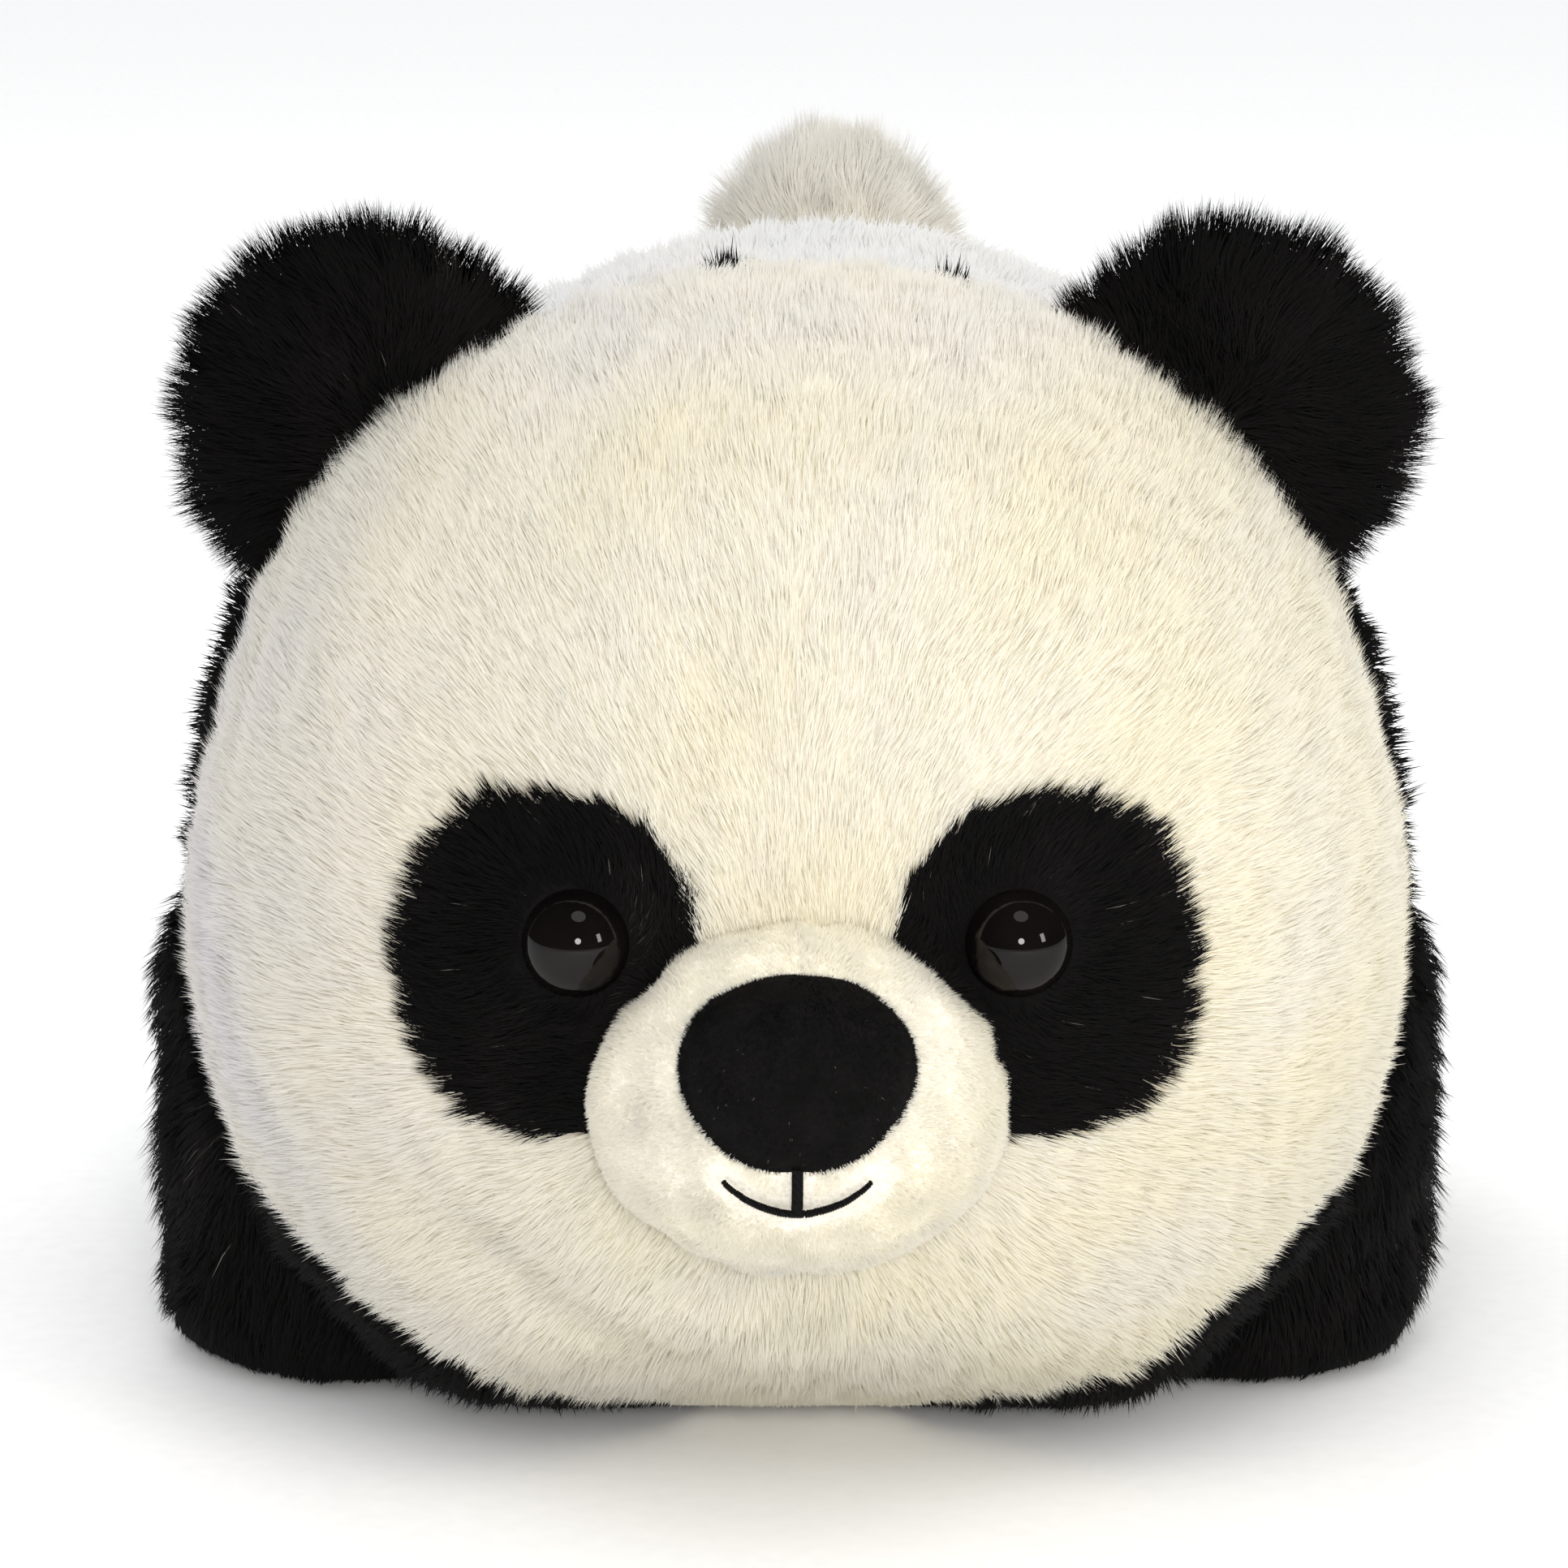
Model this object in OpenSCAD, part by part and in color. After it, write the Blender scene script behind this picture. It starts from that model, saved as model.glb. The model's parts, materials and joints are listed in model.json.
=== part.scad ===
// Plush panda lying on its belly: a stuffed loaf with a domed face, sewn-on ears, legs and tail.
// The face points to -Y and +Z is up. The belly rests on z = 0, and left and right are the panda's own.

/* [Body] */
// Width of the body over the pile
body_w = 174; // [170:1:178]
// Height of the body's long axis above the belly
axis_h = 68; // [66:1:70]
// Depth of the face dome in front of the widest section
face_depth = 75; // [73:1:77]
// Length of the straight middle of the body
mid_len = 52; // [50:1:54]
// Depth of the rump dome behind the straight middle
rump_depth = 86; // [84:1:88]
// Thickness of the long plush, backing and pressed pile together
plush_t = 3; // [2.5:0.25:3.5]
// Upward slope of the chin in front of the belly, in degrees
chin_slope = 35; // [32:1:38]

/* [Face] */
// Width of the muzzle
muzzle_w = 55; // [52:1:58]
// Height of the muzzle
muzzle_h = 47; // [45:1:49]
// Width of the nose spheroid, partly sunk in the muzzle
nose_w = 32; // [30:1:34]
// Diameter of each safety eye
eye_d = 13; // [12:0.5:14]
// Distance between the eyes' centres
eye_spacing = 57.4; // [56:0.2:60]
// Width of each eye patch
patch_w = 39; // [37:1:41]
// Height of each eye patch
patch_h = 48; // [46:1:50]

/* [Ears] */
// Diameter of each round ear
ear_d = 55; // [52:1:58]
// Thickness of each ear
ear_thick = 15; // [13:1:17]
// Angle of each ear from the top of the head, in degrees
ear_angle = 41; // [39:1:43]
// Bend of an ear each way about its seam, in degrees
ear_bend = 35; // [30:1:38]

/* [Legs] */
// Diameter of each stubby leg
leg_d = 60; // [58:1:62]
// Height of the seam that each leg hangs from
leg_seam_h = 62; // [60:1:64]

/* [Tail] */
// Diameter of the round tail
tail_d = 40; // [38:1:42]
// Bend of the tail each way about its seam, in degrees
tail_bend = 25; // [20:1:28]

/* [Sewing] */
// Diameter of the doubled sewing thread
thread_d = 1.2; // [1:0.1:1.4]
// Outer diameter of the rolled hem that a thread runs through
hem_d = 4; // [3.6:0.1:4.4]
// Space between pieces that move past each other
gap = 0.3; // [0.3:0.05:0.4]

/* [Hidden] */
sides = [["left", 1], ["right", -1]];
leg_pairs = ["front_leg_", "hind_leg_"];

cream = "ivory";
black = "dimgray";
filling = "gainsboro";
big = 600;
dome_steps = 14;
body_r = body_w / 2;
face_power = 2.4;
rump_power = 2.5;
hem_bore = thread_d + 0.1;
hinge_lift = gap + hem_d / 2;

// Muzzle, nose and mouth
muzzle_sunk = 4;
muzzle_z = 60;
muzzle_t = 2;
muzzle_power = 2.1;
nose_tilt = 24;
nose_h = 27;
nose_proud = 4;
nose_out = (muzzle_h - nose_h) / 2 + nose_proud;
nose_t = 1.5;
smile_w = 18;
smile_drop = 4;
smile_z = 51;
thread_proud = 0.7;
stitch_w = 1;

// Eyes and patches
eye_z = 80;
eye_turn = 11;
eye_rise = 6;
eye_sink = 1.5;
shank_d = 4;
shank_len = 14;
washer_d = 15;
washer_t = 1.5;
patch_x = 34;
patch_z = 75;
patch_power = 2.3;

// Ears
ear_t = 2;
ear_power = 2.2;
ear_lift = 1;
ear_hem_len = 44;
peg_len = 12;

// Legs: distance of the seam along Y, and how far it turns inwards to follow the body
leg_half_h = 38;
leg_mid_z = 34;
leg_power = 3;
leg_axis_in = 25.2;
leg_hem_len = 36;

// Tail: how far round the rump dome its seam lies, in degrees from the widest section
tail_reach = 46;
tail_lift = 11;
tail_t = 3;
tail_hem_len = 22;

// A superellipse's point at angle a, from its tip (a = 90) to its widest section (a = 0)
function super_point(a, power, radius, depth) =
    [radius * pow(cos(a), 2 / power), depth * pow(sin(a), 2 / power)];

// Half a superellipse, from one pole to the other, for rotate_extrude
function super_outline(power, radius, half) = [
    for (i = [-dome_steps : dome_steps])
        let (a = 90 * i / dome_steps, p = super_point(abs(a), power, radius, half))
            [p[0], sign(i) * p[1]]
];

// Where the tail's seam lies on the rump dome, measured from the body's axis and from the dome's start
tail_point = super_point(tail_reach, rump_power, body_r, rump_depth);
tail_slope_r = pow(tail_point[0] / body_r, rump_power - 1) / body_r;
tail_slope_y = pow(tail_point[1] / rump_depth, rump_power - 1) / rump_depth;
tail_tilt = atan2(tail_slope_y, tail_slope_r);

// Places along Y: the nose and the tail reach equally far from the origin
nose_reach = face_depth - muzzle_sunk + nose_out * cos(nose_tilt) + nose_h / 2;
tail_span = mid_len + tail_point[1] + (hinge_lift + tail_lift) * sin(tail_tilt) + tail_d / 2;
dome_y = (nose_reach - tail_span) / 2;
rump_y = dome_y + mid_len;
muzzle_y = dome_y - face_depth + muzzle_sunk;
ear_y = dome_y - 1;
chin_y = dome_y - 30;
face_seam_y = dome_y - 5;
face_seam_lean = 9;
band_seam_y = rump_y;
band_seam_lean = -20.5;
rump_seam_y = rump_y + 54;
belly_seam_z = 16;

// Each pair of legs: the seam's place along Y, and how far it turns inwards to follow the body
leg_places = [[dome_y + 15, 0], [rump_y + 24, 8.7]];

// The loaf's outline: face dome, straight middle and rump dome, taken in by inset
function loaf_outline(inset) = concat(
    [for (i = [dome_steps : -1 : 0])
        let (p = super_point(90 * i / dome_steps, face_power, body_r - inset, face_depth - inset))
            [p[0], dome_y - p[1]]],
    [for (i = [0 : dome_steps])
        let (p = super_point(90 * i / dome_steps, rump_power, body_r - inset, rump_depth - inset))
            [p[0], rump_y + p[1]]]
);

// How far the body reaches from its axis at a place along the rump
function rump_radius(y) =
    y < rump_y ? body_r
    : body_r * pow(1 - pow((y - rump_y) / rump_depth, rump_power), 1 / rump_power);

// How far the face dome reaches forward at a distance from the body's axis
function face_surface_y(r) = dome_y - face_depth * pow(1 - pow(r / body_r, face_power), 1 / face_power);

// Everything above a plane through the origin that leans back by an angle
module above(lean = 0) {
    rotate([lean, 0, 0]) translate([-big / 2, -big / 2, 0]) cube(big);
}

// Everything in front of a seam's plane, which crosses the body's axis at y and leans with height
module in_front(y, lean) {
    translate([0, y, axis_h]) rotate([-lean, 0, 0]) translate([-big / 2, -big, -big / 2]) cube(big);
}

// The whole body, taken in by inset: the loaf, flat on the belly and lifted at the chin
module body_shape(inset = 0) {
    intersection() {
        translate([0, 0, axis_h]) rotate([-90, 0, 0]) rotate_extrude($fn = 96)
            polygon(loaf_outline(inset));
        translate([0, 0, inset]) above();
        translate([0, chin_y, inset / cos(chin_slope)]) above(-chin_slope);
    }
}

module body_shell() {
    difference() {
        body_shape();
        body_shape(plush_t);
    }
}

module behind_band() {
    difference() {
        body_shell();
        in_front(band_seam_y, band_seam_lean);
    }
}

module face_panel() {
    color(cream) difference() {
        intersection() {
            body_shell();
            in_front(face_seam_y, face_seam_lean);
        }
        for (side = sides) patch_prism(side[1]);
    }
}

module shoulder_band() {
    color(black) difference() {
        intersection() {
            body_shell();
            in_front(band_seam_y, band_seam_lean);
        }
        in_front(face_seam_y, face_seam_lean);
    }
}

module back_panel() {
    color(cream) intersection() {
        behind_band();
        translate([0, 0, belly_seam_z]) above();
        in_front(rump_seam_y, 0);
    }
}

module rump_panel() {
    color(cream) difference() {
        body_shell();
        in_front(rump_seam_y, 0);
    }
}

module belly_panel() {
    color(cream) intersection() {
        difference() {
            behind_band();
            translate([0, 0, belly_seam_z]) above();
        }
        in_front(rump_seam_y, 0);
    }
}

module body_stuffing() {
    color(filling) difference() {
        body_shape(plush_t);
        for (side = sides) {
            eye(side[1]);
            eye_washer(side[1]);
        }
    }
}

// A solid with a superellipse outline about the X axis
module barrel(power, radius, half_w) {
    rotate([0, 90, 0]) rotate_extrude($fn = 64) polygon(super_outline(power, radius, half_w));
}

module muzzle_shape(inset = 0) {
    translate([0, muzzle_y, muzzle_z])
        barrel(muzzle_power, muzzle_h / 2 - inset, muzzle_w / 2 - inset);
}

module nose_shape(inset = 0) {
    translate([0, muzzle_y, muzzle_z]) rotate([-nose_tilt, 0, 0])
        translate([0, -nose_out, 0])
            barrel(muzzle_power, nose_h / 2 - inset, nose_w / 2 - inset);
}

module muzzle_cover() {
    color(cream) difference() {
        muzzle_shape();
        muzzle_shape(muzzle_t);
        body_shape();
    }
}

module muzzle_stuffing() {
    color(filling) difference() {
        muzzle_shape(muzzle_t);
        body_shape();
    }
}

module nose_cover() {
    color(black) difference() {
        nose_shape();
        nose_shape(nose_t);
        muzzle_shape();
    }
}

module nose_stuffing() {
    color(filling) difference() {
        nose_shape(nose_t);
        muzzle_shape();
    }
}

// Front view of the embroidered mouth: a smile and the upright stitch that joins it to the nose
module mouth_outline() {
    smile_r = (smile_w * smile_w / 4 + smile_drop * smile_drop) / (2 * smile_drop);
    translate([0, smile_z + smile_r]) intersection() {
        difference() {
            circle(r = smile_r + stitch_w / 2, $fn = 96);
            circle(r = smile_r - stitch_w / 2, $fn = 96);
        }
        translate([-smile_w / 2, -smile_r - stitch_w]) square([smile_w, smile_drop + 2 * stitch_w]);
    }
    translate([-stitch_w / 2, smile_z]) square([stitch_w, muzzle_z - smile_z]);
}

module mouth_stitching() {
    color(black) difference() {
        intersection() {
            muzzle_shape(-thread_proud);
            rotate([90, 0, 0]) linear_extrude(big) mouth_outline();
        }
        muzzle_shape();
        nose_shape();
        body_shape();
    }
}

module patch_prism(side) {
    half = super_outline(patch_power, patch_w / 2, patch_h / 2);
    translate([side * patch_x, 0, patch_z]) rotate([90, 0, 0]) linear_extrude(big)
        polygon(concat(half, [for (i = [len(half) - 2 : -1 : 1]) [-half[i][0], half[i][1]]]));
}

module eye_patch(side) {
    color(black) difference() {
        intersection() {
            body_shell();
            patch_prism(side);
        }
        eye(side);
        eye_washer(side);
    }
}

// Puts a piece on an eye's own axis, with +Z pointing out of the face
module at_eye(side) {
    x = eye_spacing / 2;
    translate([side * x, face_surface_y(norm([x, eye_z - axis_h])), eye_z])
        rotate([90 - eye_rise, 0, side * eye_turn]) translate([0, 0, -eye_sink]) children();
}

// A domed safety eye with the straight shank that its washer locks on
module eye(side) {
    color("black") at_eye(side) {
        intersection() {
            sphere(d = eye_d, $fn = 64);
            above();
        }
        translate([0, 0, -shank_len]) cylinder(d = shank_d, h = shank_len, $fn = 32);
    }
}

module eye_washer(side) {
    color("white") at_eye(side) translate([0, 0, eye_sink - plush_t - washer_t]) difference() {
        cylinder(d = washer_d, h = washer_t, $fn = 48);
        translate([0, 0, -1]) cylinder(d = shank_d, h = washer_t + 2, $fn = 32);
    }
}

// A sewing thread on its seam's own X axis, with a peg at each end that goes down into the body
module seam_thread(hem_len) {
    reach = hem_len / 2 + thread_d;
    translate([-reach, 0, 0]) rotate([0, 90, 0]) cylinder(d = thread_d, h = 2 * reach, $fn = 32);
    for (x = [-reach, reach]) translate([x, 0, -peg_len]) cylinder(d = thread_d, h = peg_len, $fn = 32);
}

module hem(hem_len, d = hem_d) {
    translate([-hem_len / 2, 0, 0]) rotate([0, 90, 0]) cylinder(d = d, h = hem_len, $fn = 48);
}

module hem_tube(hem_len) {
    difference() {
        hem(hem_len);
        hem(hem_len + 2, hem_bore);
    }
}

// Everything that stays clear of the body when the piece bends either way about its seam
module bend_room(bend, inset = 0) {
    intersection() {
        translate([0, 0, inset / cos(bend)]) above(bend);
        translate([0, 0, inset / cos(bend)]) above(-bend);
    }
}

// Puts a piece on an ear's seam: X along the seam, +Z out of the head
module at_ear(side) {
    translate([0, ear_y, axis_h]) rotate([0, side * ear_angle, 0])
        translate([0, 0, body_r + hinge_lift]) children();
}

module ear_shape(inset = 0) {
    intersection() {
        translate([0, 0, ear_lift]) rotate([90, 0, 0]) rotate_extrude($fn = 64)
            polygon(super_outline(ear_power, ear_d / 2 - inset, ear_thick / 2 - inset));
        bend_room(ear_bend, inset);
    }
}

// One fabric half of an outer shape (first child) around its filling (second child): the half that
// faces local -Y with a turn of 90, or +Y with -90, clear of the hem that its other half carries
module fabric_half(turn, hem_len) {
    difference() {
        intersection() {
            children(0);
            rotate([turn, 0, 0]) above();
        }
        children(1);
        hem(hem_len);
        hem(big, hem_bore);
    }
}

module ear_front(side) {
    color(black) at_ear(side) fabric_half(90, ear_hem_len) {
        ear_shape();
        ear_shape(ear_t);
    }
}

module ear_back(side) {
    color(black) at_ear(side) {
        fabric_half(-90, ear_hem_len) {
            ear_shape();
            ear_shape(ear_t);
        }
        hem_tube(ear_hem_len);
    }
}

module ear_batting(side) {
    color(filling) at_ear(side) ear_shape(ear_t);
}

module ear_thread(side) {
    color(black) difference() {
        at_ear(side) seam_thread(ear_hem_len);
        body_shape();
    }
}

// Puts a piece on the tail's seam: X along the seam, +Z out of the rump
module at_tail() {
    translate([0, rump_y + tail_point[1], axis_h + tail_point[0]]) rotate([-tail_tilt, 0, 0])
        translate([0, 0, hinge_lift]) children();
}

module tail_shape(inset = 0) {
    intersection() {
        translate([0, 0, tail_lift]) rotate([90, 0, 0]) rotate_extrude($fn = 64)
            polygon(super_outline(2, tail_d / 2 - inset, tail_d / 2 - inset));
        bend_room(tail_bend, inset);
    }
}

module tail_upper() {
    color(cream) at_tail() fabric_half(90, tail_hem_len) {
        tail_shape();
        tail_shape(tail_t);
    }
}

module tail_lower() {
    color(cream) at_tail() {
        fabric_half(-90, tail_hem_len) {
            tail_shape();
            tail_shape(tail_t);
        }
        hem_tube(tail_hem_len);
    }
}

module tail_stuffing() {
    color(filling) at_tail() tail_shape(tail_t);
}

module tail_thread() {
    color(cream) difference() {
        at_tail() seam_thread(tail_hem_len);
        body_shape();
    }
}

// Puts a piece on a leg's seam: X forward along the seam, Y away from the body, Z up
module at_leg(side, place) {
    hinge_r = rump_radius(place[0]) + hinge_lift / cos(place[1]);
    x = sqrt(hinge_r * hinge_r - pow(axis_h - leg_seam_h, 2));
    mirror([side < 0 ? 1 : 0, 0, 0]) translate([x, place[0], leg_seam_h])
        rotate([0, 0, place[1] - 90]) children();
}

// A leg's own rounded shape where it stands outside the body, below its seam
module leg_shape(side, place, inset = 0) {
    difference() {
        at_leg(side, place) intersection() {
            translate([0, -leg_axis_in, leg_mid_z - leg_seam_h]) rotate_extrude($fn = 64)
                polygon(super_outline(leg_power, leg_d / 2 - inset, leg_half_h - inset));
            translate([0, 0, inset - leg_seam_h]) above();
            translate([0, 0, -inset]) rotate([180, 0, 0]) above();
        }
        body_shape(-gap - inset);
    }
}

module leg_shell(side, place) {
    difference() {
        leg_shape(side, place);
        leg_shape(side, place, plush_t);
        at_leg(side, place) {
            hem(leg_hem_len);
            hem(big, hem_bore);
        }
    }
}

module leg_cover(side, place) {
    color(black) {
        intersection() {
            leg_shell(side, place);
            translate([0, 0, plush_t]) above();
        }
        at_leg(side, place) hem_tube(leg_hem_len);
    }
}

module leg_sole(side, place) {
    color(black) difference() {
        leg_shape(side, place);
        translate([0, 0, plush_t]) above();
    }
}

module leg_stuffing(side, place) {
    color(filling) leg_shape(side, place, plush_t);
}

module leg_thread(side, place) {
    color(black) difference() {
        at_leg(side, place) rotate([-90, 0, 0]) seam_thread(leg_hem_len);
        body_shape();
    }
}

face_panel();
shoulder_band();
back_panel();
rump_panel();
belly_panel();
body_stuffing();
muzzle_cover();
muzzle_stuffing();
nose_cover();
nose_stuffing();
mouth_stitching();
tail_upper();
tail_lower();
tail_stuffing();
tail_thread();
for (side = sides) {
    eye_patch(side[1]);
    eye(side[1]);
    eye_washer(side[1]);
    ear_front(side[1]);
    ear_back(side[1]);
    ear_batting(side[1]);
    ear_thread(side[1]);
    for (i = [0, 1]) {
        pair = leg_pairs[i];
        place = leg_places[i];
        leg_cover(side[1], place);
        leg_sole(side[1], place);
        leg_stuffing(side[1], place);
        leg_thread(side[1], place);
    }
}
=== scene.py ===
"""Looks of the plush panda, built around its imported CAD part.

Every soft panel is a smooth skin that takes the place of its CAD solid, and carries a pile of strands.
Lengths are in metres, the face points to -Y, +Z is up, and left and right are the panda's own.
"""

import json
import math

import bmesh
import bpy
import numpy as np
from mathutils import Matrix, Vector
from mathutils.bvhtree import BVHTree
from mathutils.kdtree import KDTree


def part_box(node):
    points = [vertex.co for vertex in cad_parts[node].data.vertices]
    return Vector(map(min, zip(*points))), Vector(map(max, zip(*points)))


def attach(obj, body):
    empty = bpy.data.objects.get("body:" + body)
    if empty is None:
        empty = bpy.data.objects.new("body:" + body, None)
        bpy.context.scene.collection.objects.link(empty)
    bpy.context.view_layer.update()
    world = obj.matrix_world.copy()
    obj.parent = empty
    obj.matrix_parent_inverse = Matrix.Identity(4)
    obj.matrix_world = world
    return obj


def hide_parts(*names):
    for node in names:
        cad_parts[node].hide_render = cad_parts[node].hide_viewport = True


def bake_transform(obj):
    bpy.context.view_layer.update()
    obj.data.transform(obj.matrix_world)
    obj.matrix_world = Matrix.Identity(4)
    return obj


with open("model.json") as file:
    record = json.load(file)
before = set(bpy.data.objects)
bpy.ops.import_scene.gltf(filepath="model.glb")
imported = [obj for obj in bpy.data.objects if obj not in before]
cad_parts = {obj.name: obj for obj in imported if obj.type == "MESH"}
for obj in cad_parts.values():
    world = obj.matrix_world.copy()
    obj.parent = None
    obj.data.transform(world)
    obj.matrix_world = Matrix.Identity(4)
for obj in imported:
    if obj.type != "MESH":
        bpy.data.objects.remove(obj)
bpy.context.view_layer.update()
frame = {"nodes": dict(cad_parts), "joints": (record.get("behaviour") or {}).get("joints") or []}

MM = 0.001
SIDES = {"left": 1, "right": -1}
LEG_PAIRS = ("front", "hind")
RIGHTWARD = np.array([1.0, 0.0, 0.0])
BACKWARD = np.array([0.0, 1.0, 0.0])
UPWARD = np.array([0.0, 0.0, 1.0])


# ---------------------------------------------------------------- sizes read from the frame

joints = {joint["name"]: joint for joint in frame["joints"]}


def hinge(name):
    """A joint's place and axis, as arrays."""
    joint = joints[name]
    return np.array(joint["pos_m"], float), np.array(joint["axis"], float)


def size_of(node):
    """The size of a CAD node's box, as an array."""
    low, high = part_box(node)
    return np.array(high - low)


BODY_R = size_of("shoulder_band")[0] / 2
AXIS_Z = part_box("shoulder_band")[1].z - BODY_R
DOME_Y = hinge("ear_left_bend")[0][1] + 1 * MM
RUMP_Y = hinge("hind_leg_left_lift")[0][1] - 24 * MM
FACE_DEPTH = DOME_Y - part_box("face_panel")[0].y
RUMP_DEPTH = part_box("rump_panel")[1].y - RUMP_Y
FACE_POWER = 2.4
RUMP_POWER = 2.5
CHIN_Y = DOME_Y - 30 * MM
CHIN_RISE = math.tan(math.radians(35))

# A seam's plane crosses the body's axis at a y, and leans back with height
FACE_SEAM = (DOME_Y - 5 * MM, math.tan(math.radians(9)))
BAND_SEAM = (RUMP_Y, -math.tan(math.radians(20.5)))
RUMP_SEAM = (RUMP_Y + 54 * MM, 0.0)
BELLY_SEAM_Z = 16 * MM

# The height that parts the face's pile into halves of about the same number of strands
FACE_SPLIT_Z = AXIS_Z + 12 * MM

MUZZLE_LOW, MUZZLE_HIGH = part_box("muzzle_cover")
MUZZLE_R = (MUZZLE_HIGH.z - MUZZLE_LOW.z) / 2
MUZZLE_HALF_W = MUZZLE_HIGH.x
MUZZLE_MID = np.array([0.0, MUZZLE_LOW.y + MUZZLE_R, MUZZLE_LOW.z + MUZZLE_R])
NOSE_TILT = math.radians(24)
NOSE_HALF_W = 16.2 * MM
NOSE_R = 13.8 * MM
NOSE_OUT = 14 * MM

EYE_R = 7 * MM
EYE_X = 28.7 * MM
EYE_Z = 80 * MM
EYE_TURN = math.radians(11)
EYE_RISE = math.radians(6)
EYE_SINK = 1.5 * MM
PATCH_MID = (31.5 * MM, 75.5 * MM)
PATCH_HALF = (19.5 * MM, 21.8 * MM)
PATCH_POWER = 2.2

EAR_TURN = math.radians(41)
EAR_LIFT = 1 * MM
EAR_SKIN_R = 22.5 * MM
EAR_SKIN_HALF_T = 4.8 * MM
EAR_SEAM_HALF = 18 * MM
LEG_AXIS_IN = 25.2 * MM
LEG_R = 26.5 * MM
LEG_HALF_H = 40 * MM
LEG_MID_Z = 30 * MM
LEG_POWER = 4.2
LEG_LONG = 1.15
LEG_FORWARD = {"front": 5 * MM, "hind": 0.0}
LEG_SINK = 2.5 * MM
LEG_RIM = 0.3 * MM
TAIL_LIFT = 10 * MM
TAIL_SKIN_R = 15.5 * MM
TAIL_SKIN_HALF = 15 * MM
TAIL_NECK_R = 11 * MM

# The pile stands this far over the skin, so the skin lies that much inside the CAD surface.
# FLOOR_CLEAR is the skin's height over the floor, which leaves room for the pressed pile.
PILE_RISE = 3.2 * MM
SKIN_R = BODY_R - PILE_RISE
FLOOR_CLEAR = 1.6 * MM

# The toy lies a little bent: behind the head it leans this far to its left
LEAN = 6 * MM
LEAN_FROM, LEAN_TO = DOME_Y + 5 * MM, RUMP_Y + RUMP_DEPTH * 0.85


# ---------------------------------------------------------------- small geometry helpers


def unit(vectors):
    """The vectors at length 1."""
    lengths = np.linalg.norm(vectors, axis=-1, keepdims=True)
    return vectors / np.maximum(lengths, 1e-12)


def smooth_step(values, low, high):
    """0 below low, 1 above high, and a smooth climb between them."""
    t = np.clip((values - low) / (high - low), 0, 1)
    return t * t * (3 - 2 * t)


def soft_max(a, b, reach):
    """The larger of two heights, rounded over a reach where they meet."""
    mix = np.clip(0.5 + (a - b) / (2 * reach), 0, 1)
    return b + (a - b) * mix + reach * mix * (1 - mix)


def dip(distance, width):
    """1 on a line, falling to 0 over a width on both sides of it."""
    return np.exp(-((distance / width) ** 2))


def waves(points, scale, seed):
    """Smooth noise between about -1 and 1 that changes over a distance of scale."""
    rng = np.random.default_rng(seed)
    total = np.zeros(len(points))
    for _ in range(6):
        direction = unit(rng.normal(size=3)) * rng.uniform(0.6, 1.6) * 2 * math.pi / scale
        total += np.sin(points @ direction + rng.uniform(0, 2 * math.pi))
    return total / 2.6


def leaned(points):
    """The points moved sideways by the toy's slight bend."""
    return points + RIGHTWARD * (LEAN * smooth_step(points[:, 1], LEAN_FROM, LEAN_TO))[:, None]


def turned(vectors, axes, angles):
    """The vectors turned about unit axes by angles, one each."""
    cos, sin = np.cos(angles)[:, None], np.sin(angles)[:, None]
    along = np.sum(vectors * axes, axis=1, keepdims=True) * axes
    return along + (vectors - along) * cos + np.cross(axes, vectors) * sin


def mesh_object(name, verts, faces):
    """A new smooth mesh object from an array of points and a list of faces."""
    mesh = bpy.data.meshes.new(name)
    mesh.from_pydata([tuple(v) for v in verts], [], [tuple(int(i) for i in f) for f in faces])
    mesh.validate()
    mesh.polygons.foreach_set("use_smooth", [True] * len(mesh.polygons))
    obj = bpy.data.objects.new(name, mesh)
    bpy.context.scene.collection.objects.link(obj)
    return obj


def coords(obj):
    """A mesh object's points as an array."""
    co = np.empty(len(obj.data.vertices) * 3)
    obj.data.vertices.foreach_get("co", co)
    return co.reshape(-1, 3)


def set_coords(obj, points):
    """Moves a mesh object's points."""
    obj.data.vertices.foreach_set("co", np.ascontiguousarray(points, float).ravel())
    obj.data.update()


def normals(obj):
    """A mesh object's smooth normals, one for each point."""
    out = np.empty(len(obj.data.vertices) * 3, np.float32)
    obj.data.vertex_normals.foreach_get("vector", out)
    return out.reshape(-1, 3).astype(float)


def triangles(obj):
    """A mesh object's triangles, as an array of three point numbers each."""
    obj.data.calc_loop_triangles()
    out = np.empty(len(obj.data.loop_triangles) * 3, np.int32)
    obj.data.loop_triangles.foreach_get("vertices", out)
    return out.reshape(-1, 3)


def grid_faces(rings, columns):
    """Faces of a closed grid: rings of points one after another, then one point for each end."""
    faces = []
    for ring in range(rings - 1):
        for column in range(columns):
            after = (column + 1) % columns
            a, b = ring * columns + column, ring * columns + after
            faces.append((a, b, b + columns, a + columns))
    first, last = rings * columns, rings * columns + 1
    end = (rings - 1) * columns
    for column in range(columns):
        after = (column + 1) % columns
        faces.append((first, after, column))
        faces.append((last, end + column, end + after))
    return faces


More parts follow.
